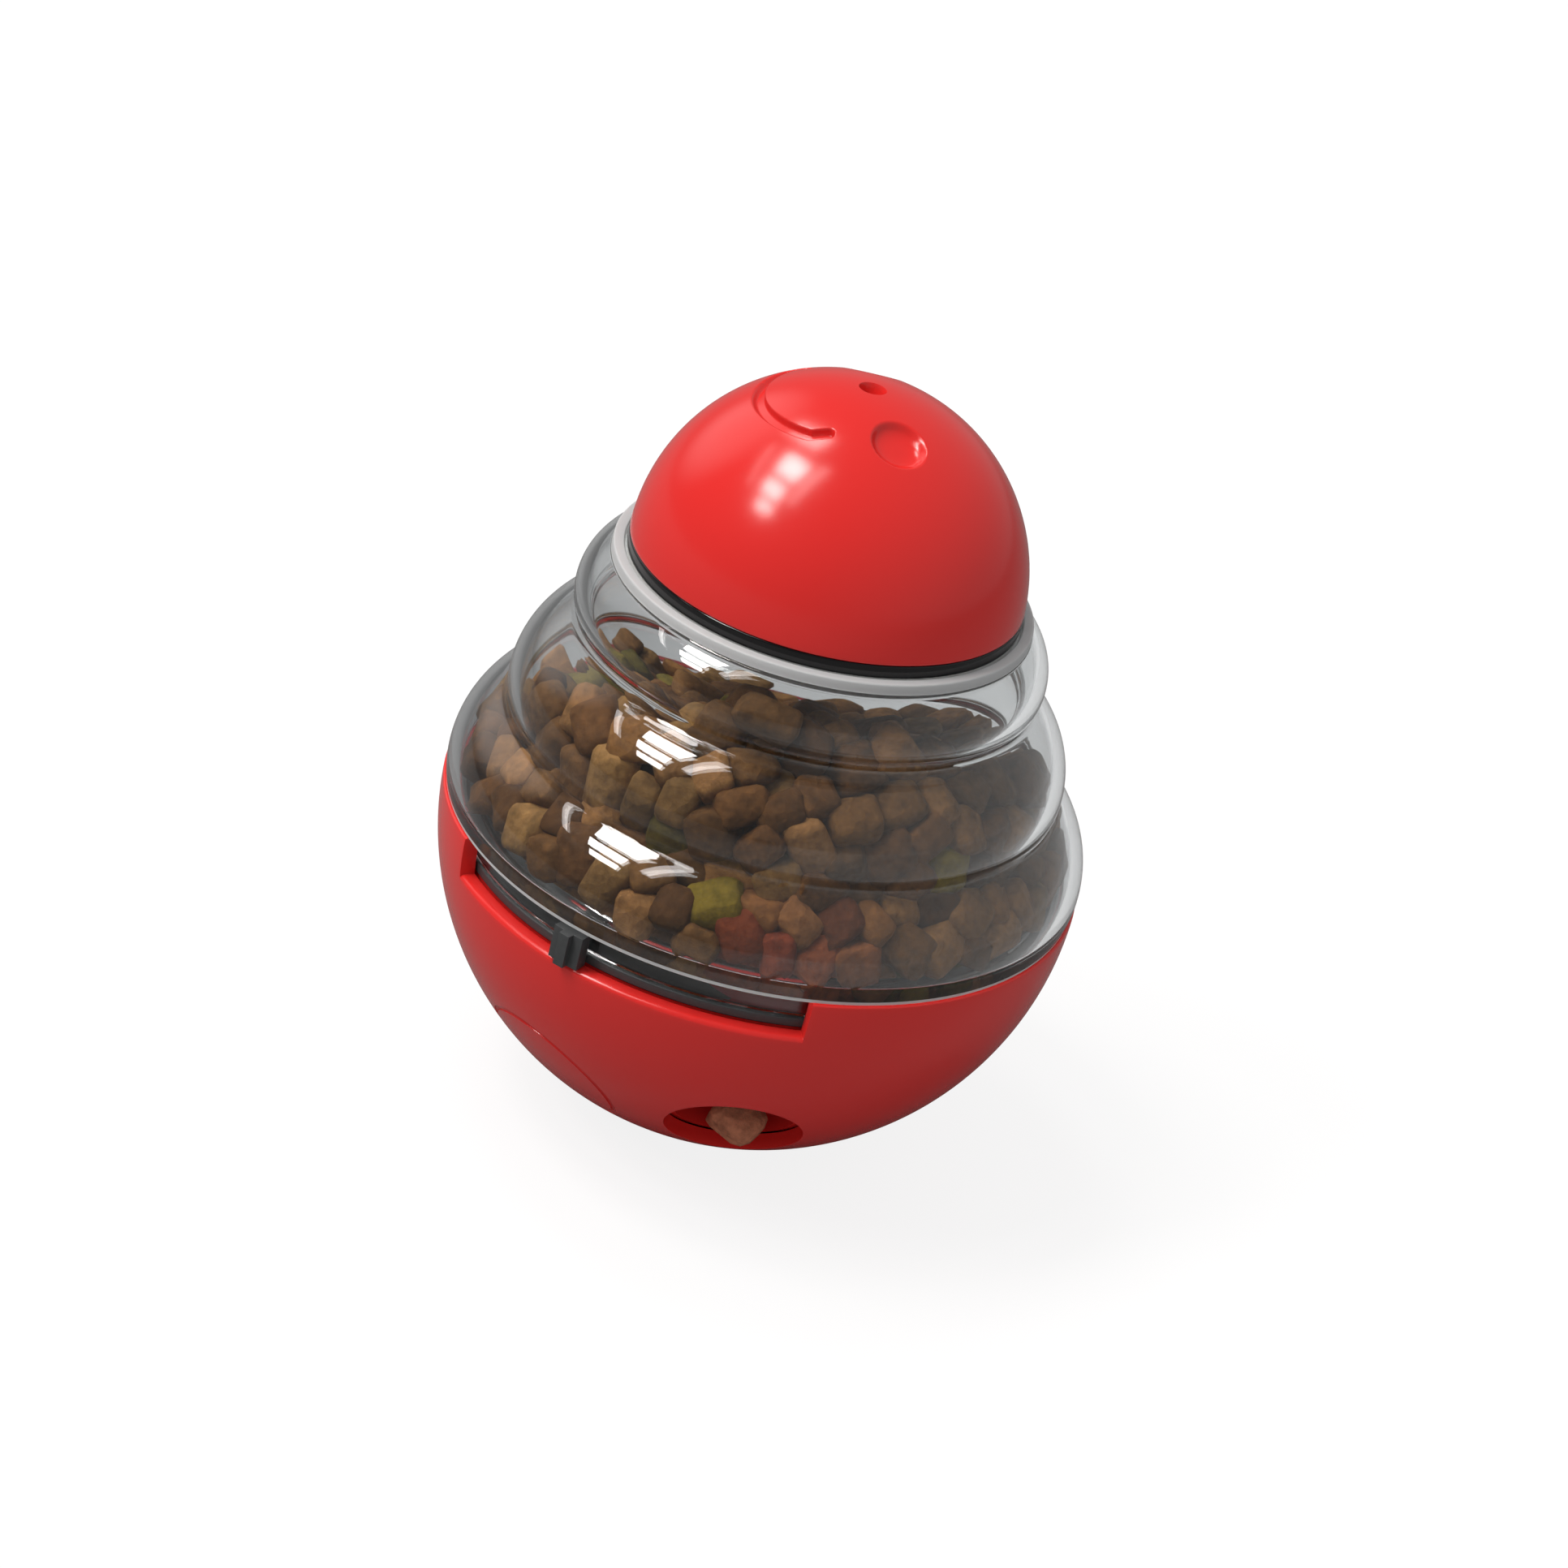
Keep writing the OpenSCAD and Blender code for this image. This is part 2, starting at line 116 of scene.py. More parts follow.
# %% [markdown]
# ## Sections with round corners
# Most pieces of the ball are turned shapes, and a mould has no sharp corner. A bevel after the spin would cut
# hundreds of edges, so the corners are rounded in the flat section, before it is spun.


# %% Arcs and corners of a section
def arc(centre, radius, start, stop, step=4.0):
    """Points along an arc of a section, angles in degrees from the outward direction, up positive."""
    count = max(2, int(abs(stop - start) / step) + 1)
    angles = [math.radians(start + (stop - start) * i / count) for i in range(count + 1)]
    return [(centre[0] + radius * math.cos(a), centre[1] + radius * math.sin(a)) for a in angles]


def rounded(points, radius, sharpest=25.0, steps=4):
    """The closed section with a small curve at each real corner. radius is a function of the corner."""
    count = len(points)
    arms = []
    for i in range(count):
        p, before, after = (Vector(points[j % count]) for j in (i, i - 1, i + 1))
        arms.append((p, before - p, after - p))
    real = [180 - math.degrees(a.angle(b, math.pi)) >= sharpest and p.x > 0.01 for p, a, b in arms]
    made = []
    for i, (p, a, b) in enumerate(arms):
        if not real[i]:
            made.append(tuple(p))
            continue
        room_a = a.length * (0.45 if real[i - 1] else 0.95)
        room_b = b.length * (0.45 if real[(i + 1) % count] else 0.95)
        reach = min(radius(p), room_a, room_b)
        first, last = p + a.normalized() * reach, p + b.normalized() * reach
        for k in range(steps + 1):
            t = k / steps
            made.append(tuple(first * (1 - t) ** 2 + p * 2 * t * (1 - t) + last * t * t))
    return made


def band(r0, r1, z0, z1):
    """A plain rectangular section."""
    return [(r0, z0), (r1, z0), (r1, z1), (r0, z1)]


print("a rounded rectangle has", len(rounded(band(1, 2, 0, 1), lambda corner: 0.2)), "points")

# %% [markdown]
# ## Spinning
# By hand one would draw half of the section as a chain of extruded points and spin it about the axis. This
# helper does just that. A part of a turn keeps its end faces, which makes it a cutting tool or a lever.


# %% Select a piece and spin a section
def clear_selection():
    """Leaves edit mode and deselects everything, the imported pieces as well."""
    if bpy.context.object and bpy.context.object.mode != "OBJECT":
        bpy.ops.object.mode_set(mode="OBJECT")
    bpy.ops.object.select_all(action="DESELECT")


def only(piece):
    """Selects one piece alone and makes it active."""
    clear_selection()
    piece.select_set(True)
    bpy.context.view_layer.objects.active = piece


def turned(name, section, steps=192, start=0.0, sweep=360.0):
    """Draws a closed section point by point and spins it about the ball's axis. Spin turns clockwise."""
    clear_selection()
    bpy.ops.mesh.primitive_plane_add(size=0.01, location=(0, 0, 0))
    piece = bpy.context.object
    piece.name = name
    bpy.ops.object.mode_set(mode="EDIT")
    bpy.ops.mesh.select_mode(type="VERT")
    bpy.ops.mesh.select_all(action="SELECT")
    bpy.ops.mesh.merge(type="CENTER")
    corners = [place(r, start, z) for r, z in section]
    bpy.ops.transform.translate(value=corners[0])
    for here, there in zip(corners, corners[1:]):
        bpy.ops.mesh.extrude_region_move(TRANSFORM_OT_translate={"value": there - here})
    bpy.ops.mesh.select_all(action="SELECT")
    bpy.ops.mesh.edge_face_add()
    if sweep > 359.9:
        bpy.ops.mesh.delete(type="ONLY_FACE")
        bpy.ops.mesh.select_all(action="SELECT")
    bpy.ops.mesh.spin(steps=steps, angle=-math.radians(sweep), center=(0, 0, 0), axis=(0, 0, 1))
    bpy.ops.mesh.select_all(action="SELECT")
    bpy.ops.mesh.remove_doubles(threshold=1e-6)
    bpy.ops.mesh.normals_make_consistent(inside=False)
    bpy.ops.object.mode_set(mode="OBJECT")
    return piece


clear_selection()
print("selected after clearing:", len(bpy.context.selected_objects))

# %% [markdown]
# ## Cutting and softening
# Slots, holes and lugs are cut or joined with a Boolean, which is exact and quick. A Bevel then rounds the
# edges that the cut leaves, because the real edges catch small bright lines of light.


# %% Cut, soften and smooth
def finish_modifier(piece, modifier):
    only(piece)
    bpy.ops.object.modifier_apply(modifier=modifier.name)


def carve(piece, tool, way="DIFFERENCE"):
    """Cuts a tool out of a piece, or joins it on, and puts the tool away."""
    cut = piece.modifiers.new("carve", "BOOLEAN")
    cut.operation = way
    cut.solver = "EXACT"
    cut.object = tool
    finish_modifier(piece, cut)
    bpy.data.objects.remove(tool)


def soften(piece, width, angle=35.0, segments=3):
    """Rounds the sharp edges by a width in millimetres."""
    bevel = piece.modifiers.new("soften", "BEVEL")
    bevel.width = width * MM
    bevel.segments = segments
    bevel.limit_method = "ANGLE"
    bevel.angle_limit = math.radians(angle)
    bevel.miter_outer = "MITER_ARC"
    finish_modifier(piece, bevel)


def smooth(piece, angle=35.0):
    only(piece)
    bpy.ops.object.shade_smooth_by_angle(angle=math.radians(angle))


def upright(r, az, z):
    """A frame that stands upright at a place of the ball."""
    return Matrix.Translation(place(r, az, z))


LIFT = Matrix.Translation((0, 0, CENTRE_Z * MM))


def towards(az, drop):
    """A frame at the base's centre whose Z points to an azimuth and an angle below the horizon."""
    swing = Matrix.Rotation(math.radians(az), 4, "Z")
    return LIFT @ swing @ Matrix.Rotation(math.radians(90 + drop), 4, "X")


def cylinder_tool(name, radius, depth, matrix, sides=96):
    """A cylinder in millimetres whose own Z runs along the matrix's Z, from its origin outwards."""
    clear_selection()
    bpy.ops.mesh.primitive_cylinder_add(vertices=sides, radius=radius * MM, depth=depth * MM)
    tool = bpy.context.object
    tool.name = name
    tool.data.transform(Matrix.Translation((0, 0, depth / 2 * MM)))
    tool.data.transform(matrix)
    return tool


print("straight down is", [round(v, 2) for v in towards(0, 90).col[2]])

# %% [markdown]
# ## Finishes
# Each finish starts from the real stuff. Colours are written as on a screen and turned to linear light by one
# function. Grain is worked out from a size in millimetres. One small function adds a node with its settings
# and links, and the steady values are set on the shader itself.


# %% Colour and node helpers
def colour(text):
    """A screen colour such as d42b2b as linear light."""
    parts = [int(text[i:i + 2], 16) / 255 for i in (0, 2, 4)]
    return tuple(c / 12.92 if c <= 0.04045 else ((c + 0.055) / 1.055) ** 2.4 for c in parts) + (1.0,)


def feed(tree, node, inputs):
    """Fills inputs of a node: a socket is linked, anything else is set as a value."""
    for key, value in inputs.items():
        if isinstance(value, bpy.types.NodeSocket):
            tree.links.new(value, node.inputs[key])
        else:
            node.inputs[key].default_value = value


def add(tree, kind, settings=None, inputs=None, **named):
    """Adds one node, sets its properties and fills its inputs. To_Min stands for the input To Min."""
    node = tree.nodes.new(kind)
    for key, value in (settings or {}).items():
        setattr(node, key, value)
    feed(tree, node, inputs or {})
    feed(tree, node, {key.replace("_", " "): value for key, value in named.items()})
    return node


def per_mm(size):
    """Noise scale that gives patches of about this many millimetres on Object coordinates."""
    return 1.0 / (size * MM)


def start_finish(name):
    """A new material with its tree, its shader and the piece's own coordinates."""
    finish = bpy.data.materials.new(name)
    finish.use_nodes = True
    tree = finish.node_tree
    where = add(tree, "ShaderNodeTexCoord").outputs["Object"]
    return finish, tree, tree.nodes["Principled BSDF"], where


print("screen grey 808080 is", round(colour("808080")[0], 3), "in linear light")

# %% [markdown]
# ### Red moulded ABS
# Base, cap and chute are ABS from a polished mould: an even bright red with a soft gloss. One flat red would
# look like a sample chip. Flow in the mould leaves a faint drift of tone over a few centimetres, and the skin
# has a very fine orange peel, about 1 mm here so that it shows, which blurs the edge of a lamp.


# %% Red moulded ABS
def red_abs():
    finish, tree, shader, where = start_finish("red moulded ABS")
    drift = add(tree, "ShaderNodeTexNoise", Vector=where, Scale=per_mm(28), Detail=2.0)
    tone = add(tree, "ShaderNodeMix", {"data_type": "RGBA"}, Factor=drift.outputs["Fac"],
               A=colour("d42522"), B=colour("cf2926"))
    peel = add(tree, "ShaderNodeTexNoise", Vector=where, Scale=per_mm(0.9), Detail=2.0)
    shine = add(tree, "ShaderNodeMapRange", Value=peel.outputs["Fac"], To_Min=0.17, To_Max=0.21)
    bump = add(tree, "ShaderNodeBump", Height=peel.outputs["Fac"], Strength=0.05, Distance=0.02 * MM)
    feed(tree, shader, {"Base Color": tone.outputs["Result"], "Roughness": shine.outputs["Result"],
                        "Normal": bump.outputs["Normal"], "IOR": 1.53})
    return finish


RED_ABS = red_abs()
print("made", RED_ABS.name)

# %% [markdown]
# ### Clear smoked polycarbonate
# The hopper is clear, with a light grey smoke that shows where the wall is seen edge on. Light passes
# straight through for shadows, as it does in a thin clear wall, so the food inside is lit. The seat and the
# neck under the cap keep the frosted skin of an unpolished mould, which shows as a pale band at the lip, and
# so does the parting line at the foot of the lowest ring. Height and radius say where the frost is.


# %% Clear smoked polycarbonate
def smoke_pc():
    finish, tree, shader, where = start_finish("clear smoked polycarbonate")
    ripple = add(tree, "ShaderNodeTexNoise", Vector=where, Scale=per_mm(14), Detail=1.0)
    bump = add(tree, "ShaderNodeBump", Height=ripple.outputs["Fac"], Strength=0.06, Distance=0.2 * MM)
    smoke = add(tree, "ShaderNodeMix", {"data_type": "RGBA"}, Factor=ripple.outputs["Fac"],
                A=colour("dcdedf"), B=colour("e2e4e4"))
    split = add(tree, "ShaderNodeSeparateXYZ", Vector=where)
    flat = add(tree, "ShaderNodeCombineXYZ", X=split.outputs["X"], Y=split.outputs["Y"])
    length = add(tree, "ShaderNodeVectorMath", {"operation": "LENGTH"}, {0: flat.outputs["Vector"]})
    out, height = length.outputs["Value"], split.outputs["Z"]
    under_cap, over_seat, at_rim, at_seam = (
        add(tree, "ShaderNodeMath", {"operation": way}, {0: value, 1: limit * MM}).outputs["Value"]
        for way, value, limit in (
            ("LESS_THAN", out, CAP_R + FIT + 2.1), ("GREATER_THAN", height, CENTRE_Z + SEAT_Z - 0.3),
            ("GREATER_THAN", out, BASE_R - 1.6), ("LESS_THAN", height, CENTRE_Z + SEAM_Z + 0.8)))
    lip = add(tree, "ShaderNodeMath", {"operation": "MULTIPLY"}, {0: under_cap, 1: over_seat})
    parting = add(tree, "ShaderNodeMath", {"operation": "MULTIPLY"}, {0: at_rim, 1: at_seam})
    frost = add(tree, "ShaderNodeMath", {"operation": "MAXIMUM"},
                {0: lip.outputs["Value"], 1: parting.outputs["Value"]})
    clear = add(tree, "ShaderNodeMapRange", Value=frost.outputs["Value"], To_Min=1.0, To_Max=0.45)
    skin = add(tree, "ShaderNodeMapRange", Value=frost.outputs["Value"], To_Min=0.02, To_Max=0.6)
    feed(tree, shader, {"Transmission Weight": clear.outputs["Result"], "Roughness": skin.outputs["Result"],
                        "Base Color": smoke.outputs["Result"], "Normal": bump.outputs["Normal"],
                        "IOR": 1.58})
    path = add(tree, "ShaderNodeLightPath")
    through = add(tree, "ShaderNodeBsdfTransparent", Color=colour("e0e2e2"))
    either = add(tree, "ShaderNodeMixShader", None, {"Fac": path.outputs["Is Shadow Ray"],
                                                     1: shader.outputs["BSDF"], 2: through.outputs["BSDF"]})
    feed(tree, tree.nodes["Material Output"], {"Surface": either.outputs["Shader"]})
    return finish


SMOKE_PC = smoke_pc()
print("made", SMOKE_PC.name)

# %% [markdown]
# ### Dark acetal, black ABS and pale silicone
# Three moulded skins that differ in colour, grain and gloss. The gate is acetal, dark grey with a fine
# spark-eroded grain and a low sheen. The collar is polished black ABS, and the seal is matt silicone. One
# function makes all three from a grain size, a roughness and a depth.


# %% Dark acetal, black ABS and pale silicone
def grained_plastic(name, dark, light, grain, rough, depth):
    finish, tree, shader, where = start_finish(name)
    grit = add(tree, "ShaderNodeTexNoise", Vector=where, Scale=per_mm(grain), Detail=3.0)
    tone = add(tree, "ShaderNodeMix", {"data_type": "RGBA"}, Factor=grit.outputs["Fac"],
               A=colour(dark), B=colour(light))
    shine = add(tree, "ShaderNodeMapRange", Value=grit.outputs["Fac"],
                To_Min=rough - 0.05, To_Max=rough + 0.05)
    bump = add(tree, "ShaderNodeBump", Height=grit.outputs["Fac"], Strength=0.3, Distance=depth * MM)
    feed(tree, shader, {"Base Color": tone.outputs["Result"], "Roughness": shine.outputs["Result"],
                        "Normal": bump.outputs["Normal"]})
    return finish


DARK_POM = grained_plastic("dark grained acetal", "343637", "404243", 0.5, 0.46, 0.03)
BLACK_ABS = grained_plastic("black polished ABS", "0b0b0c", "121213", 1.2, 0.12, 0.005)
SEAL_RUBBER = grained_plastic("matt pale silicone", "cacbc9", "d6d6d3", 0.8, 0.6, 0.05)
print("made", DARK_POM.name, BLACK_ABS.name, SEAL_RUBBER.name)

# %% [markdown]
# ### Zinc-plated steel and cast iron
# The screws are zinc plated, which is bright with a faint bluish mottle. The weight is rough cast iron,
# oiled. Both are full metals, whose colour is in the reflection, so the mottle goes into the base colour.


# %% Zinc-plated steel and cast iron
def worked_metal(name, dark, light, patch, rough, depth):
    finish, tree, shader, where = start_finish(name)
    mottle = add(tree, "ShaderNodeTexNoise", Vector=where, Scale=per_mm(patch), Detail=4.0)
    tone = add(tree, "ShaderNodeMix", {"data_type": "RGBA"}, Factor=mottle.outputs["Fac"],
               A=colour(dark), B=colour(light))
    bump = add(tree, "ShaderNodeBump", Height=mottle.outputs["Fac"], Strength=0.4, Distance=depth * MM)
    feed(tree, shader, {"Base Color": tone.outputs["Result"], "Normal": bump.outputs["Normal"],
                        "Metallic": 1.0, "Roughness": rough})
    return finish


SCREW_STEEL = worked_metal("zinc-plated steel", "9fa3a8", "c3c6c9", 1.5, 0.32, 0.01)
CAST_IRON = worked_metal("oiled cast iron", "3d3e41", "55565a", 0.8, 0.6, 0.12)
print("made", SCREW_STEEL.name, CAST_IRON.name)

# %% [markdown]
# ### Baked dry food
# Extruded and baked grain: brown with darker and paler crumbs, and quite rough. Every lump has its own tone.
# A material for each lump would be hundreds of materials, so the tone is kept in a mesh attribute, and one
# material adds the crumbs and the pitted skin.


# %% Baked dry food
def dry_food():
    finish, tree, shader, where = start_finish("baked dry food")
    # The attribute holds each lump's baked tone, with painted red light from the chute over the gate's hole.
    tone = add(tree, "ShaderNodeAttribute", {"attribute_name": "bake_tone_and_chute_light"})
    crumb = add(tree, "ShaderNodeTexNoise", Vector=where, Scale=per_mm(2.2), Detail=5.0, Roughness=0.65)
    speck = add(tree, "ShaderNodeTexVoronoi", Vector=where, Scale=per_mm(1.6))
    dark = add(tree, "ShaderNodeMapRange", Value=crumb.outputs["Fac"],
               From_Min=0.3, From_Max=0.7, To_Min=0.55, To_Max=1.25)
    shade = add(tree, "ShaderNodeMix", {"data_type": "RGBA", "blend_type": "MULTIPLY"}, Factor=1.0,
                A=tone.outputs["Color"], B=dark.outputs["Result"])
    pits = add(tree, "ShaderNodeMath", {"operation": "ADD"},
               {0: crumb.outputs["Fac"], 1: speck.outputs["Distance"]})
    bump = add(tree, "ShaderNodeBump", Height=pits.outputs["Value"], Strength=0.7, Distance=0.35 * MM)
    feed(tree, shader, {"Base Color": shade.outputs["Result"], "Normal": bump.outputs["Normal"],
                        "Roughness": 0.78, "Specular IOR Level": 0.15})
    return finish


DRY_FOOD = dry_food()
print("made", DRY_FOOD.name)

# %% [markdown]
# ## The round base
# A moulded bowl: a ball with a flat foot, open at the seam. A sphere primitive with a Solidify would do for
# the ball, but not for the foot and the rounded rim, so the section is drawn once and spun. Slot, outlet and
# engraved outline are cut out afterwards.


# %% Bowl of the base
def base_section():
    foot_angle = -math.degrees(math.asin(CENTRE_Z / BASE_R))
    seam_angle = math.degrees(math.asin(SEAM_Z / BASE_R))
    outer = arc((0, 0), BASE_R, foot_angle, seam_angle, 1.5)
    seam_in = math.degrees(math.asin(SEAM_Z / BASE_IN_R))
    inner = arc((0, 0), BASE_IN_R, seam_in, -90, 2.5)
    return rounded([(0, -CENTRE_Z)] + outer + inner, lambda corner: 0.35)


base = turned("base_bowl", base_section(), steps=240)
print("bowl has", len(base.data.polygons), "faces")

# %% [markdown]
# ### Posts and ribs
# Inside the bowl stand four posts for the floor, a post for the weight and six ribs that carry it. They show
# through the slot and the outlet only, but they are what holds the ball together. Each is a plain bar that is
# trimmed by a ball in the middle of the wall, so it grows out of the wall without coming through it.

# %% Posts and ribs inside the base
POST_R, POST_INSET, BALLAST_POST_R = 3.4, 4.0, 4.5
RIB_L, RIB_WALL = 48.0, 1.6
FLOOR_Z = SILL_Z - 3.0
BALLAST_Z = -BASE_IN_R + 3.4
BALLAST_TOP = BALLAST_Z + 8.0
FLOOR_POST_AT = inside_r(FLOOR_Z) - POST_INSET - POST_R
SCREW_HOLE_R, SCREW_HOLE_L = 1.45, 11.0


def trim_to_bowl(piece):
    """Keeps what lies inside a ball that ends in the middle of the base's wall."""
    clear_selection()
    middle = BASE_R - BASE_WALL / 2
    bpy.ops.mesh.primitive_uv_sphere_add(segments=96, ring_count=48, radius=middle * MM)
    ball = bpy.context.object
    ball.data.transform(LIFT)
    carve(piece, ball, "INTERSECT")


def screw_hole(at, az, top):
    """Cuts a screw's hole that starts 1 mm over a height."""
    hole_frame = upright(at, az, top - SCREW_HOLE_L + 1)
    carve(base, cylinder_tool("screw_hole", SCREW_HOLE_R, SCREW_HOLE_L, hole_frame, 32))


for post_az in (45, 135, 225, 315):
    post_frame = upright(FLOOR_POST_AT, post_az, -BASE_R)
    post = cylinder_tool("floor_post", POST_R, BASE_R + FLOOR_Z, post_frame, 48)
    trim_to_bowl(post)
    carve(base, post, "UNION")
    screw_hole(FLOOR_POST_AT, post_az, SILL_Z)
seat = cylinder_tool("ballast_post", BALLAST_POST_R, BASE_R + BALLAST_TOP, upright(0, 0, -BASE_R), 48)
for rib_turn in (0, 60, 120):
    clear_selection()
    bpy.ops.mesh.primitive_cube_add(size=1)
    rib = bpy.context.object
    rib.data.transform(Matrix.Diagonal((RIB_L * MM, RIB_WALL * MM, (BASE_R + BALLAST_Z) * MM, 1)))
    rib.data.transform(Matrix.Rotation(math.radians(rib_turn), 4, "Z"))
    rib.data.transform(upright(0, 0, (BALLAST_Z - BASE_R) / 2))
    carve(seat, rib, "UNION")
trim_to_bowl(seat)
carve(base, seat, "UNION")
screw_hole(0, 0, BALLAST_TOP)
print("base with posts has", len(base.data.polygons), "faces")

# %% [markdown]
# ### Slot and bayonet
# The lever runs in a slot in the rim, and the hopper locks in three L-shaped grooves: down through an entry
# and then a twist. All of them are parts of a turn about the same axis, so spun tools cut them. The slot's
# tool has a curved lower edge, which leaves the sill rounded outwards.

# %% Slot of the lever and grooves of the bayonet
SLOT_AZ, SLOT_SWEEP, SLOT_IN_R, SILL_ROUND = -31.5, 73.3, 48, 0.9
sill_end = SILL_Z - SILL_ROUND
sill_r = math.sqrt(BASE_R ** 2 - sill_end ** 2) + 0.02
sill_edge = arc((sill_r - SILL_ROUND, sill_end), SILL_ROUND, 90, 0, 14)
slot_top = [(BASE_R + 1, sill_end), (BASE_R + 1, SEAM_Z + 2), (SLOT_IN_R, SEAM_Z + 2)]
slot_section = [(SLOT_IN_R, SILL_Z)] + sill_edge + slot_top
carve(base, turned("slot_tool", slot_section, 64, SLOT_AZ - SLOT_SWEEP / 2, SLOT_SWEEP))
LUG_AZ, LUG_SWEEP, LUG_H, LUG_REACH, DOME_TWIST = (50, 140, 230), 8.0, 2.0, 1.2, 20.0
LUG_R = SKIRT_R + LUG_REACH
for az in LUG_AZ:
    wide = LUG_SWEEP + FIT
    run = band(BASE_IN_R - BASE_WALL, LUG_R + FIT, SKIRT_Z - FIT, SKIRT_Z + LUG_H + FIT)
    carve(base, turned("groove_tool", run, 24, az - wide / 2, wide + DOME_TWIST))
    entry = band(BASE_IN_R - BASE_WALL, LUG_R + 2 * FIT, SKIRT_Z, SEAM_Z + 1)
    carve(base, turned("entry_tool", entry, 12, az + DOME_TWIST - wide / 2 - FIT, wide + 2 * FIT))
print("base has", len(base.data.polygons), "faces after the slot and the grooves")

# %% [markdown]
# ### Dressing a piece
# A finished piece gets one material, rides on a body of the part and hides the imported solid that it stands
# for. One function does all three, so that none is forgotten.


# %% Dress a piece
def dress(piece, finish, body, stands_for=()):
    """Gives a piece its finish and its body."""
    piece.data.materials.clear()
    piece.data.materials.append(finish)
    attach(piece, body)
    if stands_for:
        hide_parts(*stands_for)


# %% [markdown]
# ### Outlet and engraved outline
# The food leaves by a round hole low in the front, and a thin round groove is engraved beside it. The hole is
# cut first and its edge softened. The groove comes after the bevel, which would eat such a thin line, and a
# thin torus cuts it at its own round section.

# %% Outlet and engraved outline
OUTLET_DROP, OUTLET_R, OUTLET_FROM = 38.7, 11.6, 40
outlet_frame = towards(0, OUTLET_DROP) @ Matrix.Translation((0, 0, OUTLET_FROM * MM))
carve(base, cylinder_tool("outlet_tool", OUTLET_R, 40, outlet_frame))
soften(base, 0.3)
RING_AZ, RING_DROP, RING_R, RING_LINE_R = -47.0, 41.0, 13.0, 0.5
ring_at = math.sqrt(BASE_R ** 2 - RING_R ** 2)
clear_selection()
bpy.ops.mesh.primitive_torus_add(major_segments=128, minor_segments=12, major_radius=RING_R * MM,
                                 minor_radius=RING_LINE_R * MM)
ring_tool = bpy.context.object
ring_tool.data.transform(towards(RING_AZ, RING_DROP) @ Matrix.Translation((0, 0, ring_at * MM)))
carve(base, ring_tool)
smooth(base)
dress(base, RED_ABS, "base", ["base_shell"])
print("base has", len(base.data.polygons), "faces")

# %% [markdown]
# ## The clear hopper
# One clear moulding: three bulging rings that get smaller upwards, small fillets in the grooves between them,
# a flange and a skirt that plug into the base, a lip round the seat and the neck that carries the cap. Each
# ring is an arc through two grooves, and each fillet is the small circle that touches two rings.

# %% Rings and fillets of the hopper
WALL, FILLET = 2.2, 1.5
LIP_IN_R, LIP_R, LIP_TOP = CAP_R + FIT, CAP_R + FIT + 1.9, SEAT_Z + 1.5
RIM_R = BASE_R - 0.5
tier_points = [Vector(p) for p in ((RIM_R, SEAM_Z), (47.2, 16.6), (38.2, 33.5), (LIP_IN_R, SEAT_Z + 0.4))]
tier_bulges = [3.0, 3.65, 3.85]
tiers = []
for p, q, bulge in zip(tier_points, tier_points[1:], tier_bulges):
    chord = q - p
    radius = ((chord.length / 2) ** 2 + bulge ** 2) / (2 * bulge)
    out = Vector((chord.y, -chord.x)).normalized()
    tiers.append(((p + q) / 2 - out * (radius - bulge), radius))
fillets = []
for (c1, r1), (c2, r2) in zip(tiers, tiers[1:]):
    a, b = r1 + FILLET, r2 + FILLET
    gap = c2 - c1
    along = (a * a - b * b + gap.length_squared) / (2 * gap.length)
    out = Vector((gap.y, -gap.x)).normalized()
    fillets.append(c1 + gap.normalized() * along + out * math.sqrt(a * a - along * along))
print("rings at", [tuple(round(v, 1) for v in c) for c, _ in tiers])


# %% Outline of the rings
def heading(a, b):
    return math.degrees(math.atan2(b.y - a.y, b.x - a.x))


def height_angle(centre, r, z):
    """The angle on an arc at which it reaches a height."""
    return math.degrees(math.asin(min(1, (z - centre.y) / r)))


def ring_outline(inset, low_z, high_z, step):
    """The run of rings and fillets from a low height to a high one, at an inset from the outside."""
    run = []
    for i, (centre, radius) in enumerate(tiers):
        r = radius - inset
        low = height_angle(centre, r, low_z) if i == 0 else heading(centre, fillets[i - 1])
        high = height_angle(centre, r, high_z) if i == 2 else heading(centre, fillets[i])
        run += arc(centre, r, low, high, step)
        if i < 2:
            first = heading(fillets[i], centre) % 360
            last = heading(fillets[i], tiers[i + 1][0]) % 360
            run += arc(fillets[i], FILLET + inset, first, last, step * 4)[1:-1]
    return run


print("outline has", len(ring_outline(0, SEAM_Z, SEAT_Z, 3.0)), "points")

# %% [markdown]
# ### Wall of the hopper
# Inside and outside are drawn as one closed section, so the wall has its real thickness and bends the light
# as it should. A Solidify on the outer skin would not give the flat seat, the neck and the skirt.

# %% Wall of the hopper
THREAD_WALL, INNER_FOOT_Z = 2.0, SEAM_Z + 2.5
COLLAR_R = math.sqrt((CAP_R - CAP_WALL) ** 2 - (COLLAR_TOP - CAP_Z) ** 2) - FIT
COLLAR_IN_R = COLLAR_R - THREAD_WALL
NECK_R = COLLAR_IN_R - FIT
MOUTH_R = NECK_R - THREAD_WALL


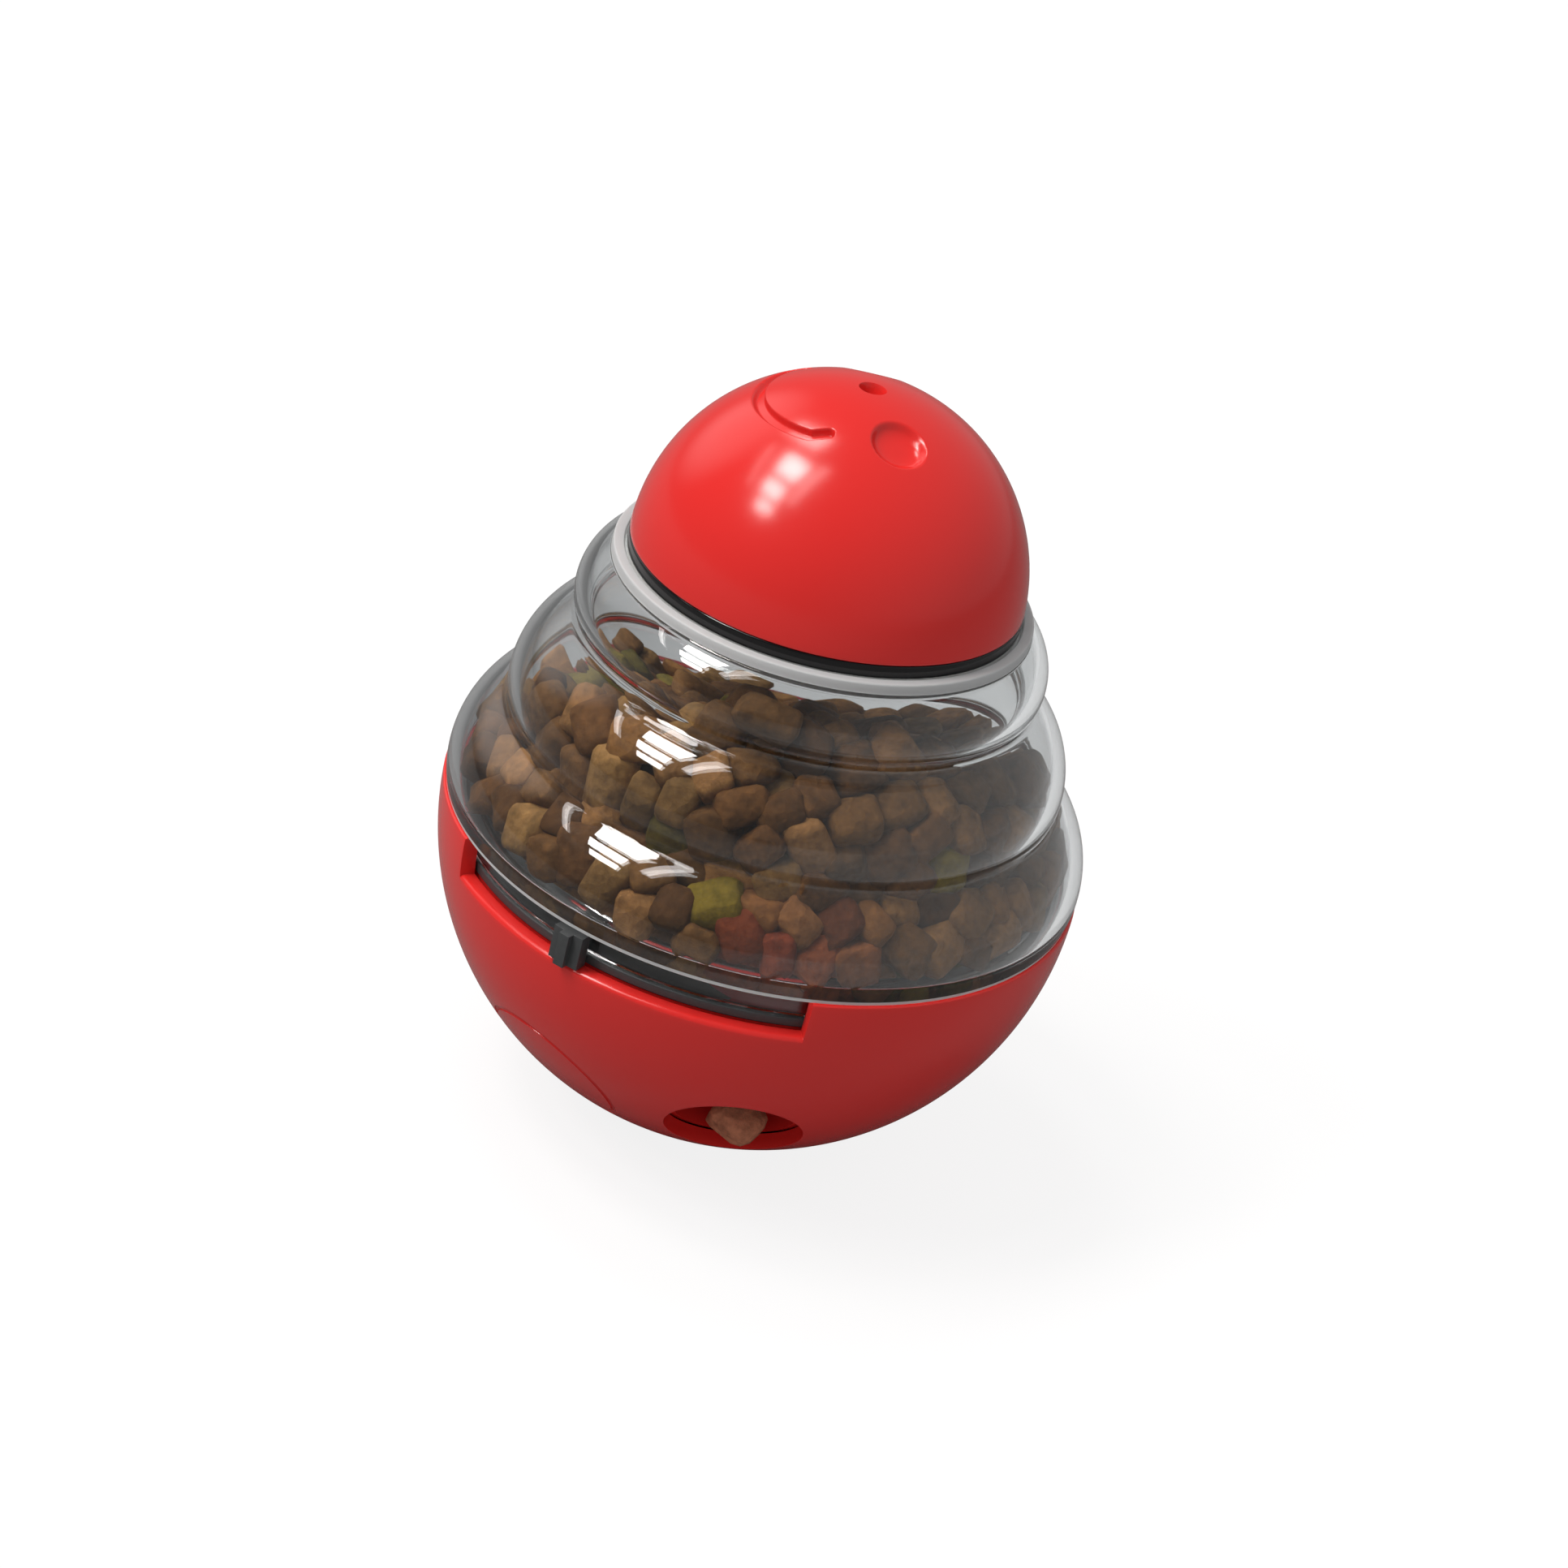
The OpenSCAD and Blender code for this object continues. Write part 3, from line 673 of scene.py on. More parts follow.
def hopper_section():
    lip_hit = tiers[2][0].y + math.sqrt(tiers[2][1] ** 2 - (LIP_R - tiers[2][0].x) ** 2)
    outside = ring_outline(0, SEAM_Z, lip_hit, 3.0)
    lip = [(LIP_R, LIP_TOP), (LIP_IN_R, LIP_TOP), (LIP_IN_R, SEAT_Z), (NECK_R, SEAT_Z)]
    neck = [(NECK_R, COLLAR_TOP - FIT), (MOUTH_R, COLLAR_TOP - FIT), (MOUTH_R, SEAT_Z - WALL)]
    inside = ring_outline(WALL, INNER_FOOT_Z, SEAT_Z - WALL, 3.0)[::-1]
    skirt_in = SKIRT_R - WALL
    skirt = [(skirt_in, INNER_FOOT_Z), (skirt_in, SKIRT_Z), (SKIRT_R, SKIRT_Z), (SKIRT_R, SEAM_Z)]
    whole = outside + lip + neck + inside + skirt
    return rounded(whole, lambda corner: 0.9 if corner.y < 0 else 0.35, 28.0)


hopper = turned("ring_hopper", hopper_section(), steps=224)
print("hopper has", len(hopper.data.polygons), "faces")

# %% [markdown]
# ### Bayonet lugs
# Three short lugs on the skirt slide into the grooves of the base. They are parts of a turn, joined to the
# skirt by a Boolean so that the clear wall has no faces inside it.

# %% Bayonet lugs
lug_section = band(SKIRT_R - WALL / 2, LUG_R, SKIRT_Z + 0.1, SKIRT_Z + LUG_H)
for az in LUG_AZ:
    carve(hopper, turned("lug_tool", lug_section, 6, az - LUG_SWEEP / 2, LUG_SWEEP), "UNION")
smooth(hopper, 40)
dress(hopper, SMOKE_PC, "dome", ["clear_dome"])
print("hopper with lugs has", len(hopper.data.polygons), "faces")

# %% [markdown]
# ## The cap and its face
# The cap is a half ball with a wall. The smile is a shallow groove, the eyes are two round dimples and there
# is a small hole at the pole. Cutting them would leave long thin faces on the glossiest surface of all, so
# the mesh is subdivided where the face is and its points are pressed in, as with a sculpting brush.


# %% Shell of the cap
def cap_section():
    edge = CAP_EDGE_Z - CAP_Z
    cap_in_r = CAP_R - CAP_WALL
    outer = arc((0, CAP_Z), CAP_R, math.degrees(math.asin(edge / CAP_R)), 90, 1.8)
    inner = arc((0, CAP_Z), cap_in_r, 90, math.degrees(math.asin(edge / cap_in_r)), 3.0)
    return rounded(outer + inner, lambda corner: 0.4)


cap = turned("smiling_cap", cap_section(), steps=150)
print("cap has", len(cap.data.polygons), "faces")

# %% Line of the smile and places of the eyes
SMILE_AZ, SMILE_OFFSET, SMILE_R, SMILE_HALF = -85.5, 3.5, 14.2, 57.0
SMILE_END, SMILE_TURN = 2.8, 28.0
EYE_AZ, EYE_OFFSET = 78.0, 13.7


def smile_line():
    """Points along the smile's middle line, seen from above."""
    line = []
    for a in np.radians(np.linspace(-SMILE_HALF, SMILE_HALF, 60)):
        line.append((SMILE_R * math.sin(a), -SMILE_OFFSET - SMILE_R * math.cos(a)))
    lean = math.radians(SMILE_HALF + SMILE_TURN)
    for side in (-1, 1):
        end = line[-1] if side > 0 else line[0]
        tick = [(end[0] + side * t * SMILE_END * math.cos(lean), end[1] + t * SMILE_END * math.sin(lean))
                for t in np.linspace(0.1, 1, 10)]
        line = line + tick if side > 0 else tick[::-1] + line
    c, s = math.cos(math.radians(SMILE_AZ)), math.sin(math.radians(SMILE_AZ))
    return np.array([(x * c - y * s, x * s + y * c) for x, y in line])


def eye_axes():
    """The way from the cap's centre to each eye."""
    tilt = math.asin(EYE_OFFSET / CAP_R)
    aside = [place(1, SMILE_AZ + 180 + side * EYE_AZ, -CENTRE_Z) / MM for side in (-1, 1)]
    return [np.array(way * math.sin(tilt)) + (0, 0, math.cos(tilt)) for way in aside]


SMILE, EYES = smile_line(), eye_axes()
print("smile is", round(float(np.ptp(SMILE[:, 1])), 1), "mm wide")

# %% Points of a mesh and their distance from the face
cap_centre = np.array((0, 0, CENTRE_Z + CAP_Z))


def mesh_points(piece):
    co = np.zeros(len(piece.data.vertices) * 3)
    piece.data.vertices.foreach_get("co", co)
    return co.reshape(-1, 3) / MM


def put_points(piece, points):
    piece.data.vertices.foreach_set("co", (points * MM).ravel())
    piece.data.update()


def face_distances(points):
    """For points from the cap's centre: distances to the smile's line, to each eye's axis and to the pole."""
    flat = points[:, :2]
    smile = np.full(len(points), 99.0)
    for start in range(0, len(points), 20000):
        part = flat[start:start + 20000]
        smile[start:start + 20000] = np.sqrt(((part[:, None] - SMILE[None]) ** 2).sum(2)).min(1)
    eyes = [np.linalg.norm(np.cross(points, axis), axis=1) for axis in EYES]
    return smile, eyes, np.linalg.norm(flat, axis=1)


def outer_skin(points):
    return (np.linalg.norm(points, axis=1) > CAP_R - 0.3) & (points[:, 2] > 5)


print("points on the outer skin", int(outer_skin(mesh_points(cap) - cap_centre).sum()))


# %% Finer faces round the smile, the eyes and the hole
def near_face(middles, reach):
    """Which faces lie within a reach of the smile, of the eyes' walls and of the hole's wall."""
    smile, eyes, pole = face_distances(middles)
    at_eyes = np.abs(np.minimum(*eyes) - 3.6) < 1.3 + reach
    return (smile < 0.9 + reach) | at_eyes | (np.abs(pole - 2.0) < 0.1 + reach)


def near_rims(middles, reach):
    """Which faces lie within a reach of the rims of the eyes."""
    _, eyes, _ = face_distances(middles)
    return np.abs(np.minimum(*eyes) - 4.5) < reach


def refine_face(chosen, reach):
    """Subdivides the chosen outer faces and puts the new points on the ball."""
    only(cap)
    middles = np.array([p.center for p in cap.data.polygons]) / MM - cap_centre
    near = chosen(middles, reach) & outer_skin(middles)
    bpy.ops.object.mode_set(mode="EDIT")
    bpy.ops.mesh.select_all(action="DESELECT")
    bpy.ops.object.mode_set(mode="OBJECT")
    cap.data.polygons.foreach_set("select", near)
    bpy.ops.object.mode_set(mode="EDIT")
    bpy.ops.mesh.select_mode(type="FACE")
    bpy.ops.mesh.subdivide(number_cuts=1)
    bpy.ops.object.mode_set(mode="OBJECT")
    points = mesh_points(cap) - cap_centre
    skin = outer_skin(points)
    points[skin] *= CAP_R / np.linalg.norm(points[skin], axis=1)[:, None]
    put_points(cap, points + cap_centre)


for reach in (2.6, 1.4, 0.7):
    refine_face(near_face, reach)
refine_face(near_rims, 0.65)
print("cap has", len(cap.data.polygons), "faces, fine enough for the face")

# %% [markdown]
# ### Pressing the face in
# Every point of the skin moves inwards by a depth that depends on its distance from the smile, an eye or the
# pole. The eye's bowl is a smooth curve that is filtered twice, because the gloss shows the least kink in it.

# %% Press the face in
SMILE_DEPTH, EYE_R, EYE_DEPTH = 1.2, 4.5, 1.9
POLE_HOLE_R, POLE_HOLE_DEPTH = 2.1, 2.4


def ease(x, low, high):
    """A soft step from nought at the low value to one at the high value."""
    t = np.clip((x - low) / (high - low), 0, 1)
    return t * t * (3 - 2 * t)


points = mesh_points(cap) - cap_centre
skin = outer_skin(points)
way = points / np.linalg.norm(points, axis=1)[:, None]
smile, eyes, pole = face_distances(points)
depth = SMILE_DEPTH * (1 - ease(smile, 0.55, 1.05))
reach = np.linspace(0, 8, 401)
bowl = EYE_DEPTH * np.sqrt(np.clip(1 - (reach / EYE_R) ** 3, 0, 1))
for taps in (35, 25):
    bowl = np.convolve(np.pad(bowl, taps // 2, mode="edge"), np.ones(taps) / taps, "valid")
for axis, eye in zip(EYES, eyes):
    depth = np.maximum(depth, np.interp(eye, reach, bowl) * ((way * axis).sum(1) > 0.5))
hole = CAP_R - (CAP_R - POLE_HOLE_DEPTH) / np.clip(way[:, 2], 0.2, 1)
depth = np.maximum(depth, hole * (1 - ease(pole, POLE_HOLE_R - 0.35, POLE_HOLE_R + 0.2)))
points[skin] -= (way * depth[:, None])[skin]
put_points(cap, points + cap_centre)
smooth(cap, 60)
dress(cap, RED_ABS, "cap", ["cap_shell"])
print("deepest press is", round(float(depth[skin].max()), 2), "mm")

# %% [markdown]
# ## The black collar
# The threaded inner part of the cap. Only the edge of its flange shows, as a glossy black line under the red,
# so a spun section with rounded corners is all it needs.

# %% Collar
collar_section = [(COLLAR_IN_R, COLLAR_Z), (CAP_R, COLLAR_Z), (CAP_R, CAP_EDGE_Z), (COLLAR_R, CAP_EDGE_Z),
                  (COLLAR_R, COLLAR_TOP), (COLLAR_IN_R, COLLAR_TOP)]
collar = turned("black_collar", rounded(collar_section, lambda corner: 0.4), steps=192)
smooth(collar)
dress(collar, BLACK_ABS, "cap", ["cap_collar"])
print("collar has", len(collar.data.polygons), "faces")

# %% [markdown]
# ## The gate and its lever
# A thin dark disc with one round hole that turns on the post of the floor. An arm reaches out between the
# hopper's skirt and the sill of the slot and ends in a thumb piece that lies flush with the base and has one
# rib. Disc and hub are turned, the hole is cut, and the lever is made of three short sweeps.

# %% Gate disc
HUB_R, HUB_TOP, PIVOT_R = 7, GATE_TOP + 2.0, 4.05
gate_section = [(PIVOT_R, SILL_Z), (HUB_R, SILL_Z), (HUB_R, GATE_Z), (GATE_R, GATE_Z), (GATE_R, GATE_TOP),
                (HUB_R, GATE_TOP), (HUB_R, HUB_TOP), (PIVOT_R, HUB_TOP)]
gate = turned("rotary_gate", rounded(gate_section, lambda corner: 0.25), steps=160)
carve(gate, cylinder_tool("hole_tool", GATE_HOLE_R, 8, upright(HOLE_AT, 0, GATE_Z - 2)))
print("gate has", len(gate.data.polygons), "faces")

# %% Lever
LEVER_AZ, LEVER_SWEEP, RIB_SWEEP, ARM_SWEEP = -38.3, 5.9, 2.0, 4.9
LEVER_IN_R, LEVER_R, LEVER_TOP = SKIRT_R + 2 * FIT, BASE_R + 1.2, SEAM_Z - 0.7


def lever_piece(name, sweep, section):
    return turned(name, section, 6, LEVER_AZ - sweep / 2, sweep)


lever = lever_piece("lever", LEVER_SWEEP, band(LEVER_IN_R, BASE_R, GATE_Z, LEVER_TOP))
carve(lever, lever_piece("rib", RIB_SWEEP, band(LEVER_IN_R + 0.5, LEVER_R, GATE_Z, LEVER_TOP)), "UNION")
soften(lever, 0.4, 30, 4)
arm = band(GATE_R - GATE_RIM, LEVER_IN_R + 0.5, GATE_Z + 0.2, GATE_TOP - 0.2)
carve(lever, lever_piece("arm", ARM_SWEEP, arm), "UNION")
carve(gate, lever, "UNION")
smooth(gate)
dress(gate, DARK_POM, "gate", ["gate_disc"])
print("gate with lever has", len(gate.data.polygons), "faces")

# %% [markdown]
# ## Pieces taken over from the part
# Floor and chute, weight, screws, washer and seal have the right shape already. They keep it and get their
# finish.

# %% Finishes of the inner pieces
inner_finishes = {"chute_floor": RED_ABS, "ballast_weight": CAST_IRON, "ballast_screw": SCREW_STEEL,
                  "floor_screws": SCREW_STEEL, "gate_washer": SCREW_STEEL, "gate_screw": SCREW_STEEL,
                  "cap_seal": SEAL_RUBBER}
for name, finish in inner_finishes.items():
    nodes[name].data.materials.clear()
    nodes[name].data.materials.append(finish)
print("finished", len(inner_finishes), "inner pieces")

# %% [markdown]
# ## Dry food in the hopper
# The hopper is filled to about its upper groove. Simulating hundreds of lumps as rigid bodies is slow, so the
# heap is settled as round grains: each falls a little, is pushed out of its neighbours and back inside the
# wall, many times over. The ball has just rolled, so the heap leans to one side. First the room is measured.

# %% Room for the food
DOWN = np.array((0.0, -0.50, -0.865))
inner_run = np.array(ring_outline(WALL, INNER_FOOT_Z, SEAT_Z - WALL, 2.0))
skirt_run = np.array([(SKIRT_R - WALL, z) for z in np.linspace(GATE_TOP, SEAM_Z + 2, 14)])
wall_run = np.vstack([skirt_run, inner_run])


def from_wall(points):
    """Distance inside the hopper's wall and the way inwards, for points from the base's centre."""
    r = np.hypot(points[:, 0], points[:, 1]) + 1e-6
    flat = np.column_stack([r, points[:, 2]])
    off = flat[:, None] - wall_run[None]
    far = np.sqrt((off ** 2).sum(2))
    best = far.argmin(1)
    rows = np.arange(len(points))
    near = far[rows, best] + 1e-6
    outside = np.where(r > np.interp(points[:, 2], wall_run[:, 1], wall_run[:, 0]), -1.0, 1.0)
    inward = off[rows, best] / near[:, None] * outside[:, None]
    round_way = points[:, :2] / r[:, None]
    return near * outside, np.column_stack([round_way * inward[:, :1], inward[:, 1]])


print("wall of the hopper has", len(wall_run), "points")

# %% [markdown]
# ### Settling
# A seeded random start gives the same heap on every run. Grains may overlap by a tenth, as chopped lumps do
# when they lie side on, and they stay off the hub and a little over the gate near the wall.

# %% Settle the grains
rng = np.random.default_rng(7)
FILL_Z, GRAINS, CLOSE = 24.0, 580, 0.9
tries = np.column_stack([rng.uniform(-50, 50, 6000), rng.uniform(-50, 50, 6000), rng.uniform(-2, 42, 6000)])
gap_in, _ = from_wall(tries)
level = tries @ -DOWN
spot = tries[(gap_in > 3) & ((level < FILL_Z) | (tries[:, 2] < 1))][:GRAINS]
size = rng.uniform(3.8, 4.9, len(spot))


def keep_inside(spot, size):
    """Pushes the grains back off the wall, the roof, the gate and the hub."""
    gap_in, inward = from_wall(spot)
    spot += inward * np.clip(size * 0.85 - gap_in, 0, 3)[:, None]
    out = np.hypot(spot[:, 0], spot[:, 1])
    spot[:, 2] = np.minimum(spot[:, 2], SEAT_Z - WALL - size)
    spot[:, 2] = np.maximum(spot[:, 2], GATE_TOP + size * 0.8 + 3.0 * ease(out, 36, 44))
    on_hub = out < HUB_R + size * 0.6
    spot[on_hub, 2] = np.maximum(spot[on_hub, 2], 0.4 + size[on_hub])


def settle(spot, size, rounds):
    """Lets the grains fall and pushes them apart, with a gentler fall towards the end."""
    for step in range(rounds):
        if step % 10 == 0:
            far = np.linalg.norm(spot[:, None] - spot[None], axis=2)
            one, two = np.nonzero(np.triu(far < size[:, None] + size[None] + 5, 1))
        fall = np.tile(DOWN, (len(spot), 1))
        fall[:, 1] *= ease(-spot[:, 1], -30, 5)
        spot += fall * (0.4 if step < rounds * 0.7 else 0.1)
        line = spot[one] - spot[two]
        far = np.linalg.norm(line, axis=1) + 1e-6
        push = np.clip((size[one] + size[two]) * CLOSE - far, 0, None) * 0.25
        shift = line / far[:, None] * push[:, None]
        np.add.at(spot, one, shift)
        np.subtract.at(spot, two, shift)
        keep_inside(spot, size)


settle(spot, size, 320)
heap_top = float(np.percentile(spot[:, 2] + size, 97))
print(len(spot), "grains, heap top", round(heap_top, 1), "mm over the centre")

# %% [markdown]
# ### One lump of each kind
# The food is chopped and tumbled: blocks, long and flat pieces and wedges with worn edges. Each kind is a
# cube whose corners are pushed in at random and whose edges are worn by a Bevel. That keeps it to a few dozen
# faces, which matters for a shape that is copied hundreds of times.


# %% One lump of each kind
def lump(name, squash, seed, wear=0.38, push=0.30):
    """A chopped piece for a grain of radius one."""
    clear_selection()
    bpy.ops.mesh.primitive_cube_add(size=1.7)
    piece = bpy.context.object
    piece.name = name
    shape = np.random.default_rng(seed)
    co = np.zeros(len(piece.data.vertices) * 3)
    piece.data.vertices.foreach_get("co", co)
    co = co.reshape(-1, 3)
    co *= 1 + shape.uniform(-push, 0.14, size=co.shape)
    co *= squash
    piece.data.vertices.foreach_set("co", co.ravel())
    piece.data.update()
    worn = piece.modifiers.new("worn", "BEVEL")
    worn.width = wear
    worn.segments = 2
    worn.limit_method = "NONE"
    finish_modifier(piece, worn)
    return piece


kinds = [lump("block_lump", (1.15, 1.0, 0.82), 1), lump("long_lump", (1.45, 0.95, 0.82), 2),
         lump("flat_lump", (1.3, 1.1, 0.7), 3), lump("plump_lump", (1.1, 1.0, 0.92), 4),
         lump("wedge_lump", (1.3, 1.0, 0.78), 5), lump("stub_lump", (1.2, 0.95, 0.86), 6)]
round_kind = lump("round_lump", (1.2, 1.05, 1.05), 9, 0.5, 0.2)
print("made", len(kinds), "kinds of lump with", len(kinds[0].data.polygons), "faces each")

# %% [markdown]
# ### Turn and tone of a lump
# Lumps at the wall lie flat against it, the others lie anyhow. Tones run from dark to light baked brown with
# a few yellow-green ones of a vegetable mix. Just over the gate's hole the lumps get red painted into their
# tone, a painted light that stands for the light that the red chute throws up.

# %% Turn and tone of a lump
BAKES = [colour(c) for c in ("8c5f30", "7c5229", "996c3e", "6e4824", "a27845", "865d32")]
GREENS = [colour(c) for c in ("75661e", "836f22", "927e30")]
TOASTED = [colour("f2b890")]
# Red of the chute's light, painted into the tone of the lumps over the gate's hole.
PAINTED_CHUTE_LIGHT = np.array(colour("b4452a"))


def lie(way, pick):
    """A turn that lays a lump's flat side across a direction, a little askew."""
    askew = Vector(way) + Vector(pick.normal(scale=0.22, size=3))
    flat = askew.to_track_quat("Z", "Y").to_matrix().to_4x4()
    return flat @ Matrix.Rotation(pick.uniform(0, 6.28), 4, "Z")


def bake(centre, tones, pick):
    """A tone for one lump. Over the gate's hole, red light from the chute is painted into it."""
    tone = np.array(tones[pick.integers(len(tones))]) * pick.uniform(0.42, 0.94)
    aside = math.hypot(centre[0] - 1, centre[1] + HOLE_AT + 5)
    glow = (1 - ease(aside, 8, 15)) * (1 - ease(centre[2], 6, 13))
    return tone * (1 - 0.4 * glow) + PAINTED_CHUTE_LIGHT * 0.38 * glow


print("tones", len(BAKES), "brown and", len(GREENS), "green")


# %% Copy lumps into a heap
def heap(name, spots, sizes, start, kinds, tones, green_share):
    """Copies a lump to each grain, turns it, gives it a tone and joins them all to one piece."""
    pick = np.random.default_rng(start)
    gap_in, inward = from_wall(spots)
    copies = []
    for i, (centre, radius) in enumerate(zip(spots, sizes)):
        kind = kinds[pick.integers(len(kinds))]
        copy = kind.copy()
        copy.data = kind.data.copy()
        bpy.context.scene.collection.objects.link(copy)
        way = inward[i] if gap_in[i] < 1.5 * radius else pick.normal(size=3)
        place_at = Matrix.Translation(Vector((centre[0], centre[1], centre[2] + CENTRE_Z)) * MM)
        copy.data.transform(place_at @ lie(way, pick) @ Matrix.Scale(radius * MM, 4))
        greenish = pick.uniform() < green_share
        tone = bake(centre, GREENS if greenish else tones, pick)
        layer = copy.data.attributes.new("bake_tone_and_chute_light", "FLOAT_COLOR", "POINT")
        layer.data.foreach_set("color", np.tile(tone, len(copy.data.vertices)))
        copies.append(copy)
    clear_selection()
    for copy in copies:
        copy.select_set(True)
    bpy.context.view_layer.objects.active = copies[0]
    if len(copies) > 1:
        bpy.ops.object.join()
    piece = bpy.context.object
    piece.name = name
    only(piece)
    bpy.ops.object.shade_smooth()
    return piece


FOOD_GAP = 0.35
food = heap("food_in_hopper", spot, size, 11, kinds, BAKES, 0.09)
points = mesh_points(food) - (0, 0, CENTRE_Z)
gap_in, inward = from_wall(points)
points += inward * np.clip(FOOD_GAP - gap_in, 0, None)[:, None]
points[:, 2] = np.clip(points[:, 2], GATE_TOP + FOOD_GAP, SEAT_Z - WALL - FOOD_GAP)
put_points(food, points + (0, 0, CENTRE_Z))
dress(food, DRY_FOOD, "base")
print("food has", len(food.data.polygons), "faces")

# %% [markdown]
# ### One lump in the outlet
# One toasted lump has come down the chute and lies in the mouth of the outlet. Its place is measured along
# the outlet's axis and down to the wall of the hole, so that it rests on the wall and does not float.

# %% One lump in the outlet
GRAIN_R, GRAIN_OUT, GRAIN_DOWN, GRAIN_ASIDE = 4.1, 50.6, 4.2, 1.3
drop = math.radians(OUTLET_DROP)
grain = np.array([[GRAIN_ASIDE, -GRAIN_OUT * math.cos(drop) + GRAIN_DOWN * math.sin(drop),
                   -GRAIN_OUT * math.sin(drop) - GRAIN_DOWN * math.cos(drop)]])
single = heap("food_in_outlet", grain, np.array([GRAIN_R]), 8, [round_kind], TOASTED, 0.0)
dress(single, DRY_FOOD, "base")
for kind in kinds + [round_kind]:
    bpy.data.objects.remove(kind)
print("lump in the outlet at", grain.round(1))

# %% [markdown]
# ## Floor
# The floor is plain white paper that keeps a soft shadow. Seen straight, it glows almost to white, so the
# page is white without more light on the ball. Gloss sees it as a darker grey, a painted shade in the
# reflections. Seen through the clear wall it glows with a painted gradient, dark on the left and white on the
# right, which gives the hopper its dark edges on the left and its pale ones on the right.

# %% Floor
clear_selection()
bpy.ops.mesh.primitive_plane_add(size=8, location=(0, 0, 0))
floor = bpy.context.object
floor.name = "floor"
white, tree, matt, where = start_finish("white floor")
path = add(tree, "ShaderNodeLightPath")
# Gloss sees a darker grey floor than the matt bounce does: painted shade in the reflections.
in_gloss = add(tree, "ShaderNodeMix", {"data_type": "RGBA"}, Factor=path.outputs["Is Glossy Ray"],
               A=colour("a0a0a0"), B=colour("747474"))
feed(tree, matt, {"Base Color": in_gloss.outputs["Result"], "Roughness": 0.9, "Specular IOR Level": 0.1})
paper = add(tree, "ShaderNodeBsdfDiffuse", Color=colour("f2f2f2"))
glow = add(tree, "ShaderNodeEmission", Color=(1, 1, 1, 1), Strength=1.0)
page = add(tree, "ShaderNodeMixShader", None, {"Fac": 0.85, 1: paper.outputs["BSDF"],
                                               2: glow.outputs["Emission"]})
across = add(tree, "ShaderNodeSeparateXYZ", Vector=where)
# Seen through the clear wall the floor glows darker on the left and white on the right: a painted gradient of
# light.
fade = add(tree, "ShaderNodeMapRange", Value=across.outputs["X"],
           From_Min=-0.17, From_Max=0.10, To_Min=0.19, To_Max=1.0)
behind = add(tree, "ShaderNodeEmission", Strength=fade.outputs["Result"])
through = add(tree, "ShaderNodeMixShader", None, {"Fac": path.outputs["Is Transmission Ray"],
                                                  1: matt.outputs["BSDF"], 2: behind.outputs["Emission"]})
seen = add(tree, "ShaderNodeMixShader", None, {"Fac": path.outputs["Is Camera Ray"],
                                               1: through.outputs["Shader"], 2: page.outputs["Shader"]})
feed(tree, tree.nodes["Material Output"], {"Surface": seen.outputs["Shader"]})
floor.data.materials.append(white)
print("floor laid")

# %% [markdown]
# ## Ceiling panels
# The light is a row of ceiling panels to the upper left with narrow strips beside it, which show as spots on
# the cap and as bright bars on every ring of the hopper. Area lamps of the real shape give those bars, which
# a sun or a point lamp would not.

# %% Ceiling panels
CEILING = 4.0


def panel(name, spot, along, across, turn, level):
    """A rectangular lamp. spot is in ceiling heights from over the ball, level is how bright it looks."""
    lamp = bpy.data.lights.new(name, "AREA")
    lamp.shape = "RECTANGLE"
    lamp.size, lamp.size_y = along * CEILING, across * CEILING
    lamp.energy = level * math.pi * lamp.size * lamp.size_y
    lamp.color = (1.0, 0.96, 0.94)
    obj = bpy.data.objects.new(name, lamp)
    bpy.context.scene.collection.objects.link(obj)
    obj.location = (spot[0] * CEILING, spot[1] * CEILING, CEILING + 0.08)
    obj.rotation_euler = (0, 0, math.radians(turn))


